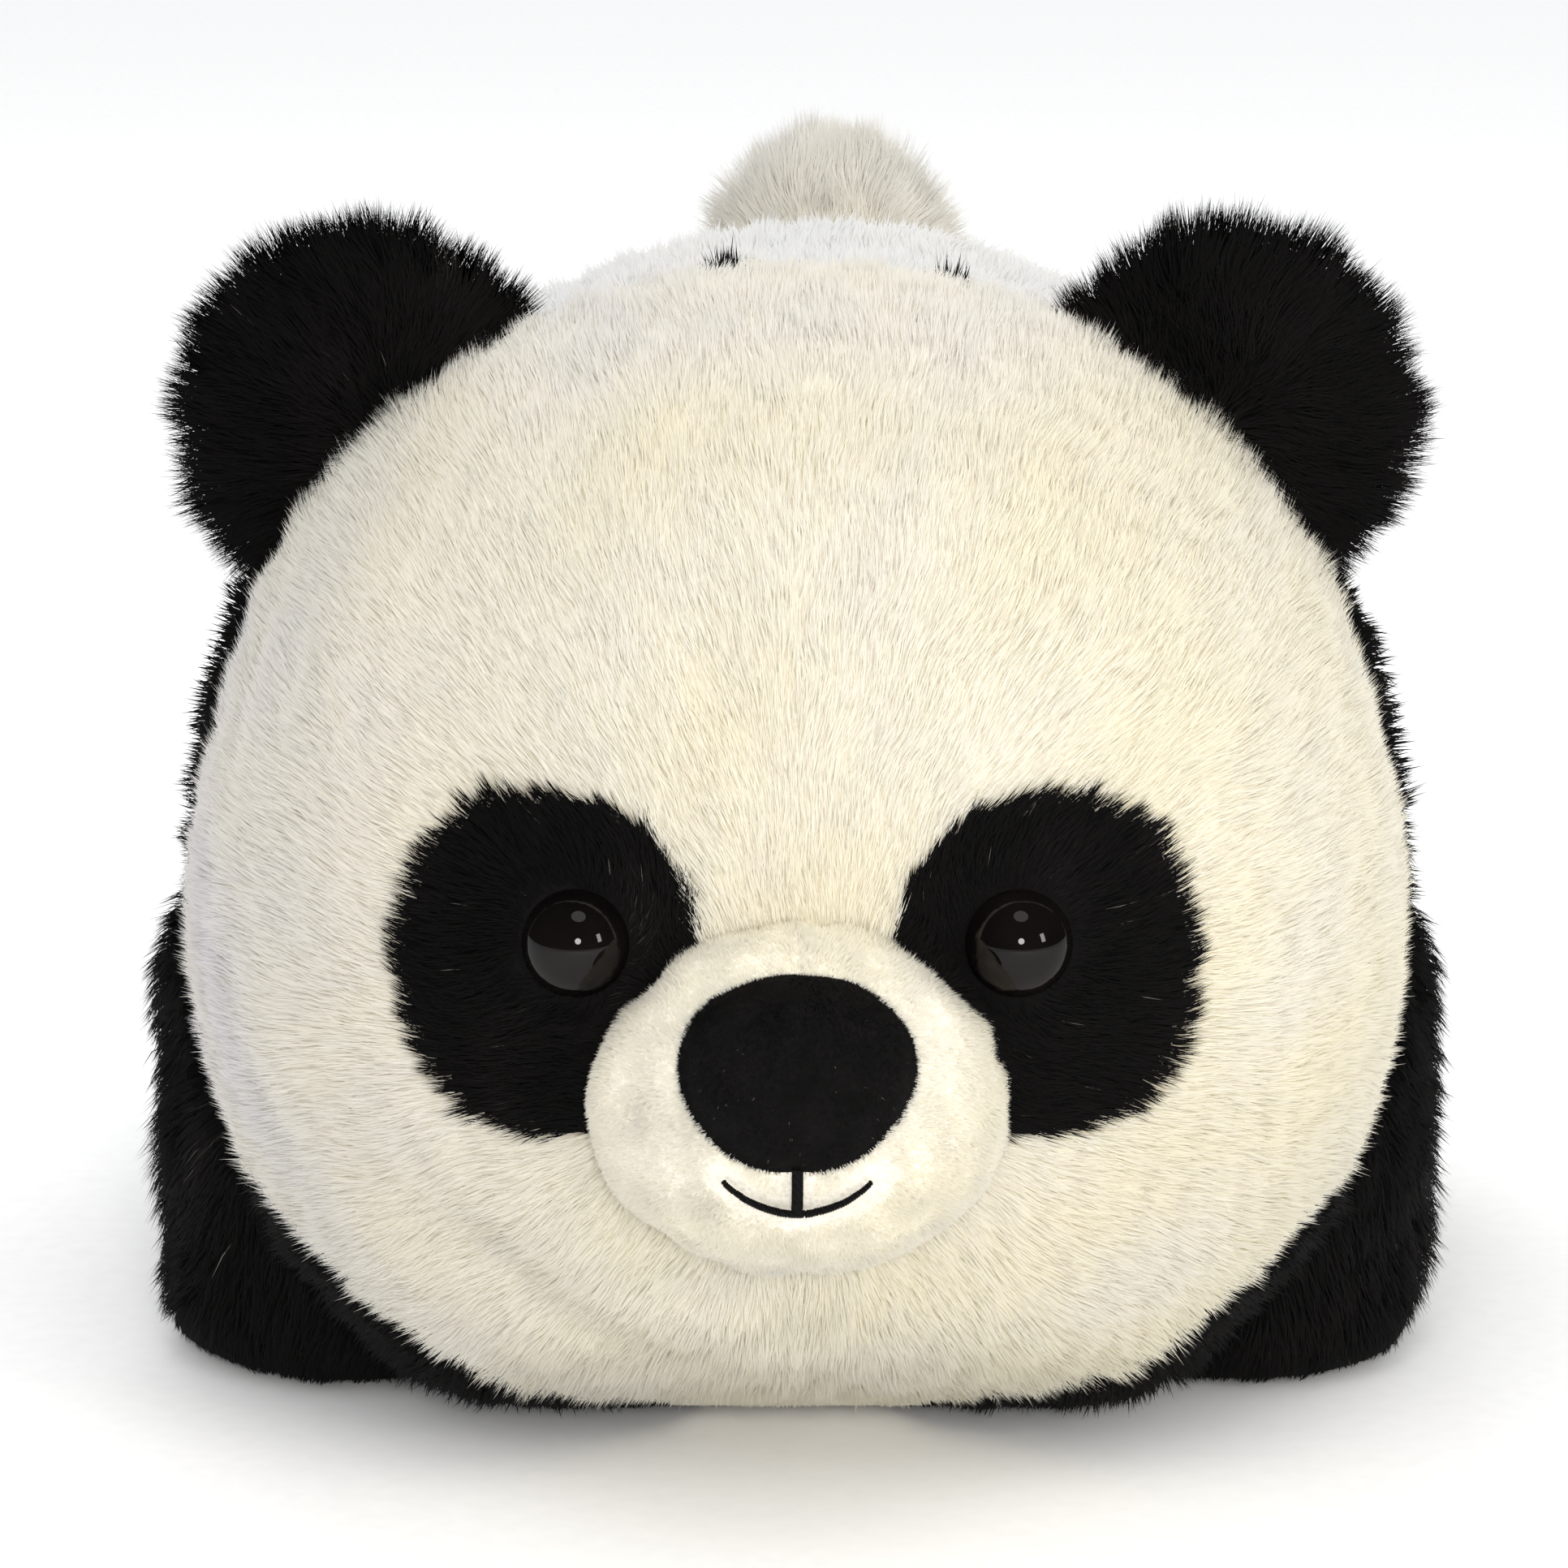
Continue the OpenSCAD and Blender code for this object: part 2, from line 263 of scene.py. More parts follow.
def spun(name, profile_r, profile_h, columns, mid, axis, first_side, second_side):
    """A closed shape spun about an axis: distances from it and heights along it, from pole to pole."""
    turn = np.linspace(0, 2 * math.pi, columns, endpoint=False)
    ring = np.cos(turn)[:, None] * first_side + np.sin(turn)[:, None] * second_side
    r, h = profile_r[1:-1], profile_h[1:-1]
    body = r[:, None, None] * ring[None] + h[:, None, None] * axis
    poles = np.array([profile_h[0] * axis, profile_h[-1] * axis])
    points = mid + np.concatenate([body.reshape(-1, 3), poles])
    obj = mesh_object(name, points, grid_faces(len(r), columns))
    outward = np.sum((coords(obj) - mid) * normals(obj))
    if outward < 0:
        obj.data.flip_normals()
    return obj


def egg_profile(power, radius, half, steps):
    """A superellipse from pole to pole, evenly spaced: distances from the axis and heights along it."""
    angle = np.linspace(-math.pi / 2, math.pi / 2, 600)
    r = radius * np.cos(angle) ** (2 / power)
    r[[0, -1]] = 0
    h = half * np.sign(angle) * np.abs(np.sin(angle)) ** (2 / power)
    return evenly(r, h, steps)


def evenly(r, h, steps):
    """The same outline with its points evenly spaced."""
    along = np.concatenate([[0], np.cumsum(np.hypot(np.diff(r), np.diff(h)))])
    even = np.linspace(0, along[-1], steps)
    return np.interp(even, along, r), np.interp(even, along, h)


def subdivide(obj):
    """Parts each face of a mesh object in four and smooths it, and keeps the result."""
    modifier = obj.modifiers.new("smooth", "SUBSURF")
    modifier.levels = 1
    apply_modifiers(obj)


def apply_modifiers(obj):
    """Replaces an object's mesh by what its modifiers make of it."""
    graph = bpy.context.evaluated_depsgraph_get()
    made = bpy.data.meshes.new_from_object(obj.evaluated_get(graph))
    obj.modifiers.clear()
    obj.data = made


# ---------------------------------------------------------------- shapes of the body


def body_radius(y):
    """How far the body's skin reaches from its long axis at places along Y."""
    front = np.clip((DOME_Y - y) / (FACE_DEPTH - PILE_RISE), 0, 1)
    rear = np.clip((y - RUMP_Y) / (RUMP_DEPTH - PILE_RISE), 0, 1)
    face = (1 - front**FACE_POWER) ** (1 / FACE_POWER)
    rump = (1 - rear**RUMP_POWER) ** (1 / RUMP_POWER)
    return SKIN_R * face * rump


def over_body(points, gap):
    """True where points stand more than a gap outside the body's skin."""
    return np.hypot(points[:, 0], points[:, 2] - AXIS_Z) > body_radius(points[:, 1]) + gap


def face_y(x, z, rise=PILE_RISE):
    """Where the face's skin lies along Y at a place seen from the front."""
    r = np.hypot(x, z - AXIS_Z) / (BODY_R - rise)
    return DOME_Y - (FACE_DEPTH - rise) * (1 - np.clip(r, 0, 1) ** FACE_POWER) ** (1 / FACE_POWER)


def seam_distance(points, seam):
    """Distance along Y from a seam's plane, negative in front of it."""
    y, lean = seam
    return points[:, 1] - y - (points[:, 2] - AXIS_Z) * lean


def eye_distance(points, side):
    """How far points are from an eye's middle, seen from the front."""
    return np.hypot(points[:, 0] - side * EYE_X, points[:, 2] - EYE_Z)


def segment_distance(points, start, end):
    """How far points are from the line between two points, seen from the front."""
    flat = points[:, [0, 2]]
    a, b = np.array(start), np.array(end)
    t = np.clip(((flat - a) @ (b - a)) / ((b - a) @ (b - a)), 0, 1)
    return np.linalg.norm(flat - a - t[:, None] * (b - a), axis=1)


def in_front(points):
    """1 on the front of the face, falling to 0 towards its sides."""
    return smooth_step(-points[:, 1], -DOME_Y + 20 * MM, -DOME_Y + 45 * MM)


def body_relief(points):
    """How far the stuffing pushes each point of the body out, or the sewing pulls it in."""
    push = 0.5 * MM * waves(points, 38 * MM, 3)
    for seam, depth, width in ((FACE_SEAM, 2.2, 3.5), (BAND_SEAM, 2.0, 4), (RUMP_SEAM, 1.5, 4)):
        push -= depth * MM * dip(seam_distance(points, seam), width * MM)
    front = in_front(points)
    crease = segment_distance(points, (-42 * MM, 40 * MM), (-16 * MM, 16 * MM))
    push -= 2.0 * MM * dip(crease, 3.5 * MM) * front
    cheek = segment_distance(points, (-32 * MM, 44 * MM), (-10 * MM, 26 * MM))
    push += 1.2 * MM * dip(cheek, 7 * MM) * front
    crown = smooth_step(points[:, 2], AXIS_Z + 20 * MM, AXIS_Z + 75 * MM)
    push += 5.4 * MM * crown * dip(points[:, 1] - DOME_Y + 9 * MM, 18 * MM)
    temple = dip(points[:, 2] - AXIS_Z - 34 * MM, 20 * MM)
    push += 2.2 * MM * temple * dip(seam_distance(points, FACE_SEAM) - 8 * MM, 6 * MM)
    for side in SIDES.values():
        socket = eye_distance(points, side)
        push += (3.4 * dip(socket, 9.5 * MM) - 1.2 * dip(socket, 19 * MM)) * MM * front
    return push


def make_body():
    """The whole body as one closed mesh: a loaf, flat on the belly and lifted at the chin."""
    angle = np.linspace(0, math.pi / 2, 400)
    shape_r, shape_h = [], []
    for power, depth, start, way in (
        (FACE_POWER, FACE_DEPTH - PILE_RISE, DOME_Y, -1),
        (RUMP_POWER, RUMP_DEPTH - PILE_RISE, RUMP_Y, 1),
    ):
        r = SKIN_R * np.cos(angle) ** (2 / power)
        r[-1] = 0
        h = start + way * depth * np.sin(angle) ** (2 / power)
        shape_r.append(r[::way])
        shape_h.append(h[::way])
    r, h = evenly(np.concatenate(shape_r), np.concatenate(shape_h), 92)
    mid = np.array([0, 0, AXIS_Z])
    obj = spun("body_skin", r, h, 112, mid, BACKWARD, UPWARD, RIGHTWARD)
    points = coords(obj)
    points += normals(obj) * body_relief(points)[:, None]
    chin = np.maximum(CHIN_Y - points[:, 1], 0) * CHIN_RISE
    points[:, 2] = soft_max(points[:, 2], FLOOR_CLEAR + chin, 5 * MM)
    set_coords(obj, points)
    return obj


def swell(obj, held, cap):
    """Lets air puff a sewn skin out as cloth. Held points stay, and none moves further than cap."""
    group = obj.vertex_groups.new(name="held")
    for index, weight in enumerate(held):
        if weight > 0.02:
            group.add([index], float(weight), "REPLACE")
    before = coords(obj)
    modifier = obj.modifiers.new("cloth", "CLOTH")
    settings = modifier.settings
    settings.quality = 6
    settings.mass = 0.3
    settings.tension_stiffness = 12
    settings.compression_stiffness = 12
    settings.shear_stiffness = 6
    settings.bending_stiffness = 0.6
    settings.vertex_group_mass = "held"
    settings.use_pressure = True
    settings.uniform_pressure_force = 4
    settings.effector_weights.gravity = 0
    modifier.collision_settings.use_collision = False
    scene = bpy.context.scene
    modifier.point_cache.frame_start = 1
    modifier.point_cache.frame_end = 20
    for step in range(1, 21):
        scene.frame_set(step)
    apply_modifiers(obj)
    scene.frame_set(1)
    obj.vertex_groups.clear()
    moved = coords(obj) - before
    length = np.linalg.norm(moved, axis=1, keepdims=True)
    moved *= np.minimum(1, cap / np.maximum(length, 1e-9))
    points = before + moved
    points[:, 2] = np.maximum(points[:, 2], FLOOR_CLEAR * 0.6)
    set_coords(obj, points)


def seam_hold(points):
    """How firmly each point of the body is held while it swells: fully on a seam and on the floor."""
    held = 1 - smooth_step(points[:, 2], 3 * MM, 12 * MM)
    for seam in (FACE_SEAM, BAND_SEAM, RUMP_SEAM):
        held = np.maximum(held, dip(seam_distance(points, seam), 3 * MM))
    for side in SIDES.values():
        held = np.maximum(held, dip(eye_distance(points, side), 7 * MM) * in_front(points))
    return held


def cut_along_seams(obj):
    """Cuts a mesh's faces where the body's seams cross them, so that its panels part on clean lines."""
    cutter = bmesh.new()
    cutter.from_mesh(obj.data)
    planes = [((0, y, AXIS_Z), (0, 1, -lean)) for y, lean in (FACE_SEAM, BAND_SEAM, RUMP_SEAM)]
    planes.append(((0, 0, BELLY_SEAM_Z), (0, 0, 1)))
    for place, direction in planes:
        everything = cutter.verts[:] + cutter.edges[:] + cutter.faces[:]
        bmesh.ops.bisect_plane(cutter, geom=everything, plane_co=place, plane_no=direction)
    cutter.to_mesh(obj.data)
    cutter.free()


def weld(obj, reach):
    """Joins a mesh object's points that lie closer together than reach."""
    welder = bmesh.new()
    welder.from_mesh(obj.data)
    bmesh.ops.remove_doubles(welder, verts=welder.verts[:], dist=reach)
    welder.to_mesh(obj.data)
    welder.free()


def face_mids(obj):
    """The centre of each of a mesh object's faces."""
    out = np.empty(len(obj.data.polygons) * 3)
    obj.data.polygons.foreach_get("center", out)
    return out.reshape(-1, 3)


def part_of(obj, name, chosen):
    """A new object with only the chosen faces of another."""
    copy = bmesh.new()
    copy.from_mesh(obj.data)
    copy.faces.ensure_lookup_table()
    unwanted = [copy.faces[i] for i in np.flatnonzero(~chosen)]
    bmesh.ops.delete(copy, geom=unwanted, context="FACES")
    mesh = bpy.data.meshes.new(name)
    copy.to_mesh(mesh)
    copy.free()
    part = bpy.data.objects.new(name, mesh)
    bpy.context.scene.collection.objects.link(part)
    return part


def in_patch(points, side):
    """True where points seen from the front lie in an eye patch."""
    across = np.abs(points[:, 0] - side * PATCH_MID[0]) / PATCH_HALF[0]
    upright = np.abs(points[:, 2] - PATCH_MID[1]) / PATCH_HALF[1]
    inside = across**PATCH_POWER + upright**PATCH_POWER < 1
    return inside & (points[:, 1] < DOME_Y - 10 * MM)


def under_chin(points):
    """True where black plush comes round under the chin, rising towards both sides."""
    out = np.abs(points[:, 0])
    height = (3 * MM + 13.5 * MM * (out / (45 * MM)) ** 1.75) * smooth_step(out, 8 * MM, 24 * MM)
    return points[:, 2] < height


def body_panels(whole):
    """Parts the body's mesh along its seams: its panels by name."""
    mids = face_mids(whole)
    face = (seam_distance(mids, FACE_SEAM) < 0) & ~under_chin(mids)
    band = ~face & (seam_distance(mids, BAND_SEAM) < 0)
    rump = seam_distance(mids, RUMP_SEAM) > 0
    behind = ~face & ~band & ~rump
    low = mids[:, 2] < BELLY_SEAM_Z
    patches = {f"eye_patch_{name}": in_patch(mids, side) for name, side in SIDES.items()}
    in_any_patch = np.logical_or.reduce(list(patches.values()))
    masks = {
        "face_panel": face & ~in_any_patch,
        "shoulder_band": band,
        "rump_panel": rump,
        "belly_panel": behind & low,
        "back_panel": behind & ~low,
        **patches,
    }
    return {name: part_of(whole, f"{name}_skin", mask) for name, mask in masks.items()}


# ---------------------------------------------------------------- shapes of the sewn-on parts


def ear_frame(side_name):
    """The middle of an ear's seam, the way the ear stands, and the way its seam runs."""
    place, _ = hinge(f"ear_{side_name}_bend")
    out = np.array([SIDES[side_name] * math.sin(EAR_TURN), 0, math.cos(EAR_TURN)])
    return place, out, np.cross(BACKWARD, out)


def make_ear(side_name):
    """An ear's skin: a round padded disc whose base runs down into the head."""
    place, out, along = ear_frame(side_name)
    r, h = egg_profile(2.2, EAR_SKIN_R, EAR_SKIN_HALF_T, 40)
    mid = place + out * EAR_LIFT
    obj = spun(f"ear_{side_name}_skin", r, h, 64, mid, BACKWARD, out, along)
    points = coords(obj)
    points += normals(obj) * (0.4 * MM * waves(points, 14 * MM, 11 + SIDES[side_name]))[:, None]
    set_coords(obj, points)
    return obj


def leg_walls(flat, mid):
    """How far from the body's axis a leg's inner and outer walls stand at places seen from the side."""
    y, z = flat[:, 0], flat[:, 1]
    reach = body_radius(y) - LEG_SINK
    inner = np.sqrt(np.maximum(reach**2 - (z - AXIS_Z) ** 2, 0))
    height = np.clip(np.abs(z - LEG_MID_Z) / LEG_HALF_H, 0, 1)
    width = LEG_R * (1 - height**LEG_POWER) ** (1 / LEG_POWER)
    outer = abs(mid[0]) + np.sqrt(np.maximum(width**2 - ((y - mid[1]) / LEG_LONG) ** 2, 0))
    return inner, outer


def drawn_to_rim(flat, mid, rim):
    """Places seen from the side. Those where the leg is thinner than its rim move in to the rim."""
    heart = np.array([mid[1], LEG_MID_Z])
    inner, outer = leg_walls(flat, mid)
    near = np.zeros(len(flat))
    far = (outer - inner < rim).astype(float)
    for _ in range(12):
        pull = (near + far) / 2
        inner, outer = leg_walls(flat + (heart - flat) * pull[:, None], mid)
        thin = outer - inner < rim
        near = np.where(thin, pull, near)
        far = np.where(thin, far, pull)
    return flat + (heart - flat) * far[:, None]


def hollowed(block, mid, side, rim, inset):
    """A leg's points, with its inner wall laid an inset off the body's side and closed at its rim."""
    flat = drawn_to_rim(block[:, 1:], mid, rim)
    inner, _ = leg_walls(flat, mid)
    return np.column_stack([side * soft_max(side * block[:, 0], inner + inset, 2 * MM), flat])


def make_leg(side_name, pair):
    """A leg's skin and filling: a stubby rounded block, hollowed where it is sewn into the body's side."""
    side = SIDES[side_name]
    place, axis = hinge(f"{pair}_leg_{side_name}_lift")
    along = unit(np.array([axis[0], axis[1], 0]))
    out = np.cross(along, UPWARD)
    out *= side * np.sign(out[0])
    r, h = egg_profile(LEG_POWER, LEG_R, LEG_HALF_H, 48)
    mid = place - out * LEG_AXIS_IN - BACKWARD * LEG_FORWARD[pair]
    mid[2] = LEG_MID_Z
    skin = spun(f"{pair}_leg_{side_name}_whole_skin", r, h, 72, mid, UPWARD, out, along * LEG_LONG)
    points = coords(skin)
    points += normals(skin) * (0.6 * MM * waves(points, 22 * MM, 23 + side))[:, None]
    points[:, 2] = soft_max(points[:, 2], FLOOR_CLEAR, 2 * MM)
    set_coords(skin, points)
    filling = stuffed(skin, f"{pair}_leg_{side_name}_filling", 1 * MM)
    for piece, rim, inset in ((skin, LEG_RIM, 0), (filling, LEG_RIM + 2 * MM, 0.5 * MM)):
        set_coords(piece, hollowed(coords(piece), mid, side, rim, inset))
        weld(piece, LEG_RIM)
    return skin, filling


def make_tail():
    """The tail's skin: a ball whose neck runs down into the rump, and its outward direction."""
    place, _ = hinge("tail_bend")
    y_slope = (place[1] - RUMP_Y) / RUMP_DEPTH
    z_slope = (place[2] - AXIS_Z) / BODY_R
    y_part = y_slope ** (RUMP_POWER - 1) / RUMP_DEPTH
    z_part = z_slope ** (RUMP_POWER - 1) / BODY_R
    out = unit(np.array([0, y_part, z_part]))
    along = np.cross(out, RIGHTWARD)
    r, h = egg_profile(2.0, TAIL_SKIN_R, TAIL_SKIN_HALF, 36)
    neck = TAIL_NECK_R * smooth_step(-h, 0, 5 * MM) * (r > 0)
    r = np.where(h < 0, np.maximum(r, neck), r)
    h = np.where(h < 0, h * 1.3, h)
    mid = place + out * TAIL_LIFT
    obj = spun("tail_skin", r, h, 56, mid, out, RIGHTWARD, along)
    points = coords(obj)
    points += normals(obj) * (0.5 * MM * waves(points, 15 * MM, 31))[:, None]
    set_coords(obj, points)
    return obj, place, out


def make_muzzle():
    """The muzzle's skin: a wide ball, narrower above and gathered where it is sewn to the face."""
    r, h = egg_profile(2.1, MUZZLE_R - 0.6 * MM, MUZZLE_HALF_W - 1.2 * MM, 48)
    obj = spun("muzzle_skin", r, h, 80, MUZZLE_MID, RIGHTWARD, UPWARD, BACKWARD)
    points = coords(obj)
    local = points - MUZZLE_MID
    height = local[:, 2] / MUZZLE_R
    local[:, 0] *= 1 - 0.07 * np.maximum(height, 0) + 0.03 * dip(height + 0.3, 0.5)
    around = np.arctan2(local[:, 2], local[:, 0])
    base = smooth_step(local[:, 1], -9 * MM, 2 * MM)
    gathers = np.sin(around * 17 + 1.3 * np.sin(around * 3)) * 0.35 * MM * base
    gathers += 0.35 * MM * waves(local, 13 * MM, 41)
    for side in SIDES.values():
        pinch = np.hypot(local[:, 0] - side * 19 * MM, local[:, 2] - 14 * MM)
        gathers -= 1.0 * MM * dip(pinch, 4 * MM) * base
    points = MUZZLE_MID + local + normals(obj) * gathers[:, None]
    set_coords(obj, points)
    return obj


def nose_frame():
    """The nose's middle, and its own upward and forward directions."""
    forward = np.array([0, -math.cos(NOSE_TILT), math.sin(NOSE_TILT)])
    up = np.array([0, math.sin(NOSE_TILT), math.cos(NOSE_TILT)])
    return MUZZLE_MID + forward * NOSE_OUT, up, forward


def make_nose():
    """The nose's skin: a padded egg, broad above and drawn to a blunt point below."""
    mid, up, forward = nose_frame()
    r, h = egg_profile(2.2, NOSE_R - 0.3 * MM, NOSE_HALF_W - 0.3 * MM, 40)
    obj = spun("nose_skin", r, h, 64, mid, RIGHTWARD, up, forward)
    points = coords(obj)
    local = points - mid
    height = (local @ up) / NOSE_R
    local[:, 0] *= 1 + 0.03 * height - 0.05 * np.maximum(-height - 0.2, 0)
    set_coords(obj, mid + local)
    return obj


# ---------------------------------------------------------------- stage


def camera_at(elevation, azimuth, distance, target, drop, focal_px, image_px):
    """A camera turned round the target, which lies a drop below the middle of its view."""
    sensor = 36.0
    level = Vector((-math.sin(azimuth), math.cos(azimuth), 0))
    view = level * math.cos(elevation) - Vector((0, 0, math.sin(elevation)))
    right = view.cross(Vector((0, 0, 1))).normalized()
    up = right.cross(view)
    camera = bpy.data.cameras.new("camera")
    camera.lens = sensor * focal_px / image_px
    camera.sensor_width = sensor
    camera.clip_end = 60
    obj = bpy.data.objects.new("camera", camera)
    rotation = Matrix((right, up, -view)).transposed().to_4x4()
    place = Vector(target) - view * distance + up * drop
    obj.matrix_world = Matrix.Translation(place) @ rotation
    bpy.context.scene.collection.objects.link(obj)
    bpy.context.scene.camera = obj


def stage_floor(material):
    """A pale floor wide enough to fill the whole view."""
    half = 25.0
    corners = [(-half, -half, 0), (half, -half, 0), (half, half, 0), (-half, half, 0)]
    floor = mesh_object("floor", corners, [(0, 1, 2, 3)])
    floor.data.materials.append(material)


def softbox(name, place, target, size, power, colour, shape="DISK"):
    """A soft area light at a place, turned to its target."""
    light = bpy.data.lights.new(name, "AREA")
    light.shape = shape
    light.size = size[0]
    if shape == "RECTANGLE":
        light.size_y = size[1]
    light.energy = power
    light.color = colour
    obj = bpy.data.objects.new(name, light)
    direction = Vector(target) - Vector(place)
    facing = direction.to_track_quat("-Z", "Y")
    obj.matrix_world = Matrix.Translation(place) @ facing.to_matrix().to_4x4()
    bpy.context.scene.collection.objects.link(obj)


def stage_sky(colour, strength, mirrored):
    """An even soft light from all sides, dimmer where a glossy surface mirrors it."""
    world = bpy.data.worlds.new("studio")
    world.use_nodes = True
    nodes, links = world.node_tree.nodes, world.node_tree.links
    nodes.clear()
    out = nodes.new("ShaderNodeOutputWorld")
    mix = nodes.new("ShaderNodeMixShader")
    rays = nodes.new("ShaderNodeLightPath")
    for socket, level in ((1, strength), (2, mirrored)):
        sky = nodes.new("ShaderNodeBackground")
        sky.inputs["Color"].default_value = (*colour, 1)
        sky.inputs["Strength"].default_value = level
        links.new(sky.outputs[0], mix.inputs[socket])
    links.new(rays.outputs["Is Glossy Ray"], mix.inputs[0])
    links.new(mix.outputs[0], out.inputs["Surface"])
    bpy.context.scene.world = world


# ---------------------------------------------------------------- materials


def srgb(red, green, blue):
    """A screen colour from 0 to 255 as Blender's linear colour."""
    channels = [value / 255 for value in (red, green, blue)]
    return tuple(c / 12.92 if c <= 0.04045 else ((c + 0.055) / 1.055) ** 2.4 for c in channels)


class Shading:
    """A new material and short ways to add and join its nodes."""

    def __init__(self, name, **constants):
        self.material = bpy.data.materials.new(name)
        self.material.use_nodes = True
        self.nodes = self.material.node_tree.nodes
        self.links = self.material.node_tree.links
        self.surface = self.nodes["Principled BSDF"]
        for socket, value in constants.items():
            self.surface.inputs[socket.replace("_", " ")].default_value = value

    def node(self, kind, settings=None, **inputs):
        """A new node. An input that is an output socket is joined, and any other value is set."""
        node = self.nodes.new(f"ShaderNode{kind}")
        for name, value in (settings or {}).items():
            setattr(node, name, value)
        for name, value in inputs.items():
            socket = node.inputs[name.replace("_", " ")]
            if isinstance(value, bpy.types.NodeSocket):
                self.links.new(value, socket)
            else:
                socket.default_value = value
        return node

    def join(self, output, name):
        """Joins an output to one of the surface shader's inputs."""
        self.links.new(output, self.surface.inputs[name])

    def place(self, scale=(1, 1, 1)):
        """The object's own coordinates, stretched by a scale."""
        source = self.node("TexCoord").outputs["Object"]
        return self.node("Mapping", Vector=source, Scale=scale).outputs[0]

    def ramp(self, factor, stops):
        """Colours along a factor: pairs of a position and a colour."""
        ramp = self.node("ValToRGB", Fac=factor)
        elements = ramp.color_ramp.elements
        while len(elements) < len(stops):
            elements.new(0.5)
        for element, (position, colour) in zip(elements, stops):
            element.position = position
            element.color = (*colour, 1)
        return ramp.outputs["Color"]

    def times(self, first, second):
        """Two colours multiplied."""
        mix = self.node("MixRGB", {"blend_type": "MULTIPLY"}, Fac=1.0, Color1=first, Color2=second)
        return mix.outputs[0]

    def bump(self, height, distance, strength):
        """Raises the surface by a height."""
        bump = self.node("Bump", Height=height, Distance=distance, Strength=strength)
        self.join(bump.outputs[0], "Normal")

    def glow_through(self, colour, share):
        """Lets a share of the light pass through thin fibres."""
        thin = self.node("BsdfTranslucent", Color=colour)
        mix = self.node("MixShader", Fac=share)
        self.links.new(self.surface.outputs[0], mix.inputs[1])
        self.links.new(thin.outputs[0], mix.inputs[2])
        self.links.new(mix.outputs[0], self.nodes["Material Output"].inputs["Surface"])


def pile_material(name, tones, root, tip, roughness, specular, share):
    """Fibres: their tone comes from the strand's column, and along the strand a painted shade darkens the
    root and a painted light tints the tip.
    """
    shading = Shading(name, Roughness=roughness, Specular_IOR_Level=specular)
    place = shading.node("UVMap", {"uv_map": "OFBake"}).outputs[0]
    split = shading.node("SeparateXYZ", Vector=place)
    last = len(tones) - 1
    tone = shading.ramp(split.outputs["X"], [(i / last, colour) for i, colour in enumerate(tones)])
    # Painted shade darkens the root and painted light tints the tip.
    along = shading.ramp(split.outputs["Y"], [(0.0, root), (0.55, (1, 1, 1)), (1.0, tip)])
    streaks = shading.node("Mapping", Vector=place, Scale=(700, 3, 1)).outputs[0]
    noise = shading.node("TexNoise", Vector=streaks, Scale=1.0, Detail=2.0).outputs[0]
    shade = shading.ramp(noise, [(0.3, (0.93, 0.93, 0.93)), (0.7, (1, 1, 1))])
    colour = shading.times(shading.times(tone, along), shade)
    shading.join(colour, "Base Color")
    shading.glow_through(colour, share)
    return shading.material


def backing_material(name, colour, shade):
    """The knitted backing that the pile grows from: loops with a mottled colour, and painted shade in the
    pits between the loops.
    """
    shading = Shading(name, Roughness=0.95, Specular_IOR_Level=0.15)
    place = shading.place()
    loops = shading.node("TexVoronoi", Vector=place, Scale=1400.0).outputs["Distance"]
    mottle = shading.node("TexNoise", Vector=place, Scale=260.0, Detail=4.0).outputs[0]
    tint = shading.ramp(mottle, [(0.3, shade), (0.7, colour)])
    # Painted shade: darker in the pits of the loops, where the bump is low.
    loop_pit_shade = shading.ramp(loops, [(0.0, (0.8, 0.8, 0.8)), (0.6, (1, 1, 1))])
    shading.join(shading.times(tint, loop_pit_shade), "Base Color")
    shading.bump(loops, 0.2 * MM, 0.6)
    return shading.material


def thread_material(name, colour, shade):
    """Twisted sewing thread: slanting plies, nearly matte, with painted shade in the grooves between the
    plies.
    """
    shading = Shading(name, Roughness=0.7, Specular_IOR_Level=0.15)
    place = shading.place()
    slant = {"bands_direction": "DIAGONAL"}
    plies = shading.node("TexWave", slant, Vector=place, Scale=700.0, Distortion=1.5).outputs["Fac"]
    # The shade colour falls where the bump is low: painted shade in the grooves between the plies.
    shading.join(shading.ramp(plies, [(0.1, shade), (0.8, colour)]), "Base Color")
    shading.bump(plies, 0.08 * MM, 0.7)
    return shading.material


def filling_material():
    """Polyester filling: pale crossing fibres in loose clumps, with painted shade where the bump sinks
    between them.
    """
    shading = Shading("filling", Roughness=0.9, Specular_IOR_Level=0.2)
    place = shading.place((1, 1, 0.3))
    fibres = shading.node("TexNoise", Vector=place, Scale=900.0, Detail=6.0, Distortion=2.0).outputs[0]
    # Painted shade: darker where the fibres' bump is low.
    colour = shading.ramp(fibres, [(0.35, srgb(214, 214, 210)), (0.65, srgb(246, 246, 243))])
    shading.join(colour, "Base Color")
    shading.bump(fibres, 0.4 * MM, 0.8)
    return shading.material


def eye_material():
    """Black moulded plastic under a clear gloss, with the faintest brown mottle and fine dust."""
    shading = Shading("eye_plastic", Coat_Weight=0.45, Coat_Roughness=0.02, Specular_IOR_Level=0.0)
    place = shading.place()
    # A faint brown mottle in the black colour.
    depth = shading.node("TexNoise", Vector=place, Scale=120.0, Detail=2.0).outputs[0]
    shading.join(shading.ramp(depth, [(0.3, srgb(6, 5, 5)), (0.8, srgb(17, 14, 13))]), "Base Color")
    dust = shading.node("TexNoise", Vector=place, Scale=2600.0, Detail=3.0).outputs[0]
    haze = shading.node("MapRange", Value=dust, From_Min=0.3, From_Max=0.9, To_Min=0.03, To_Max=0.12)
    shading.join(haze.outputs[0], "Roughness")
    return shading.material


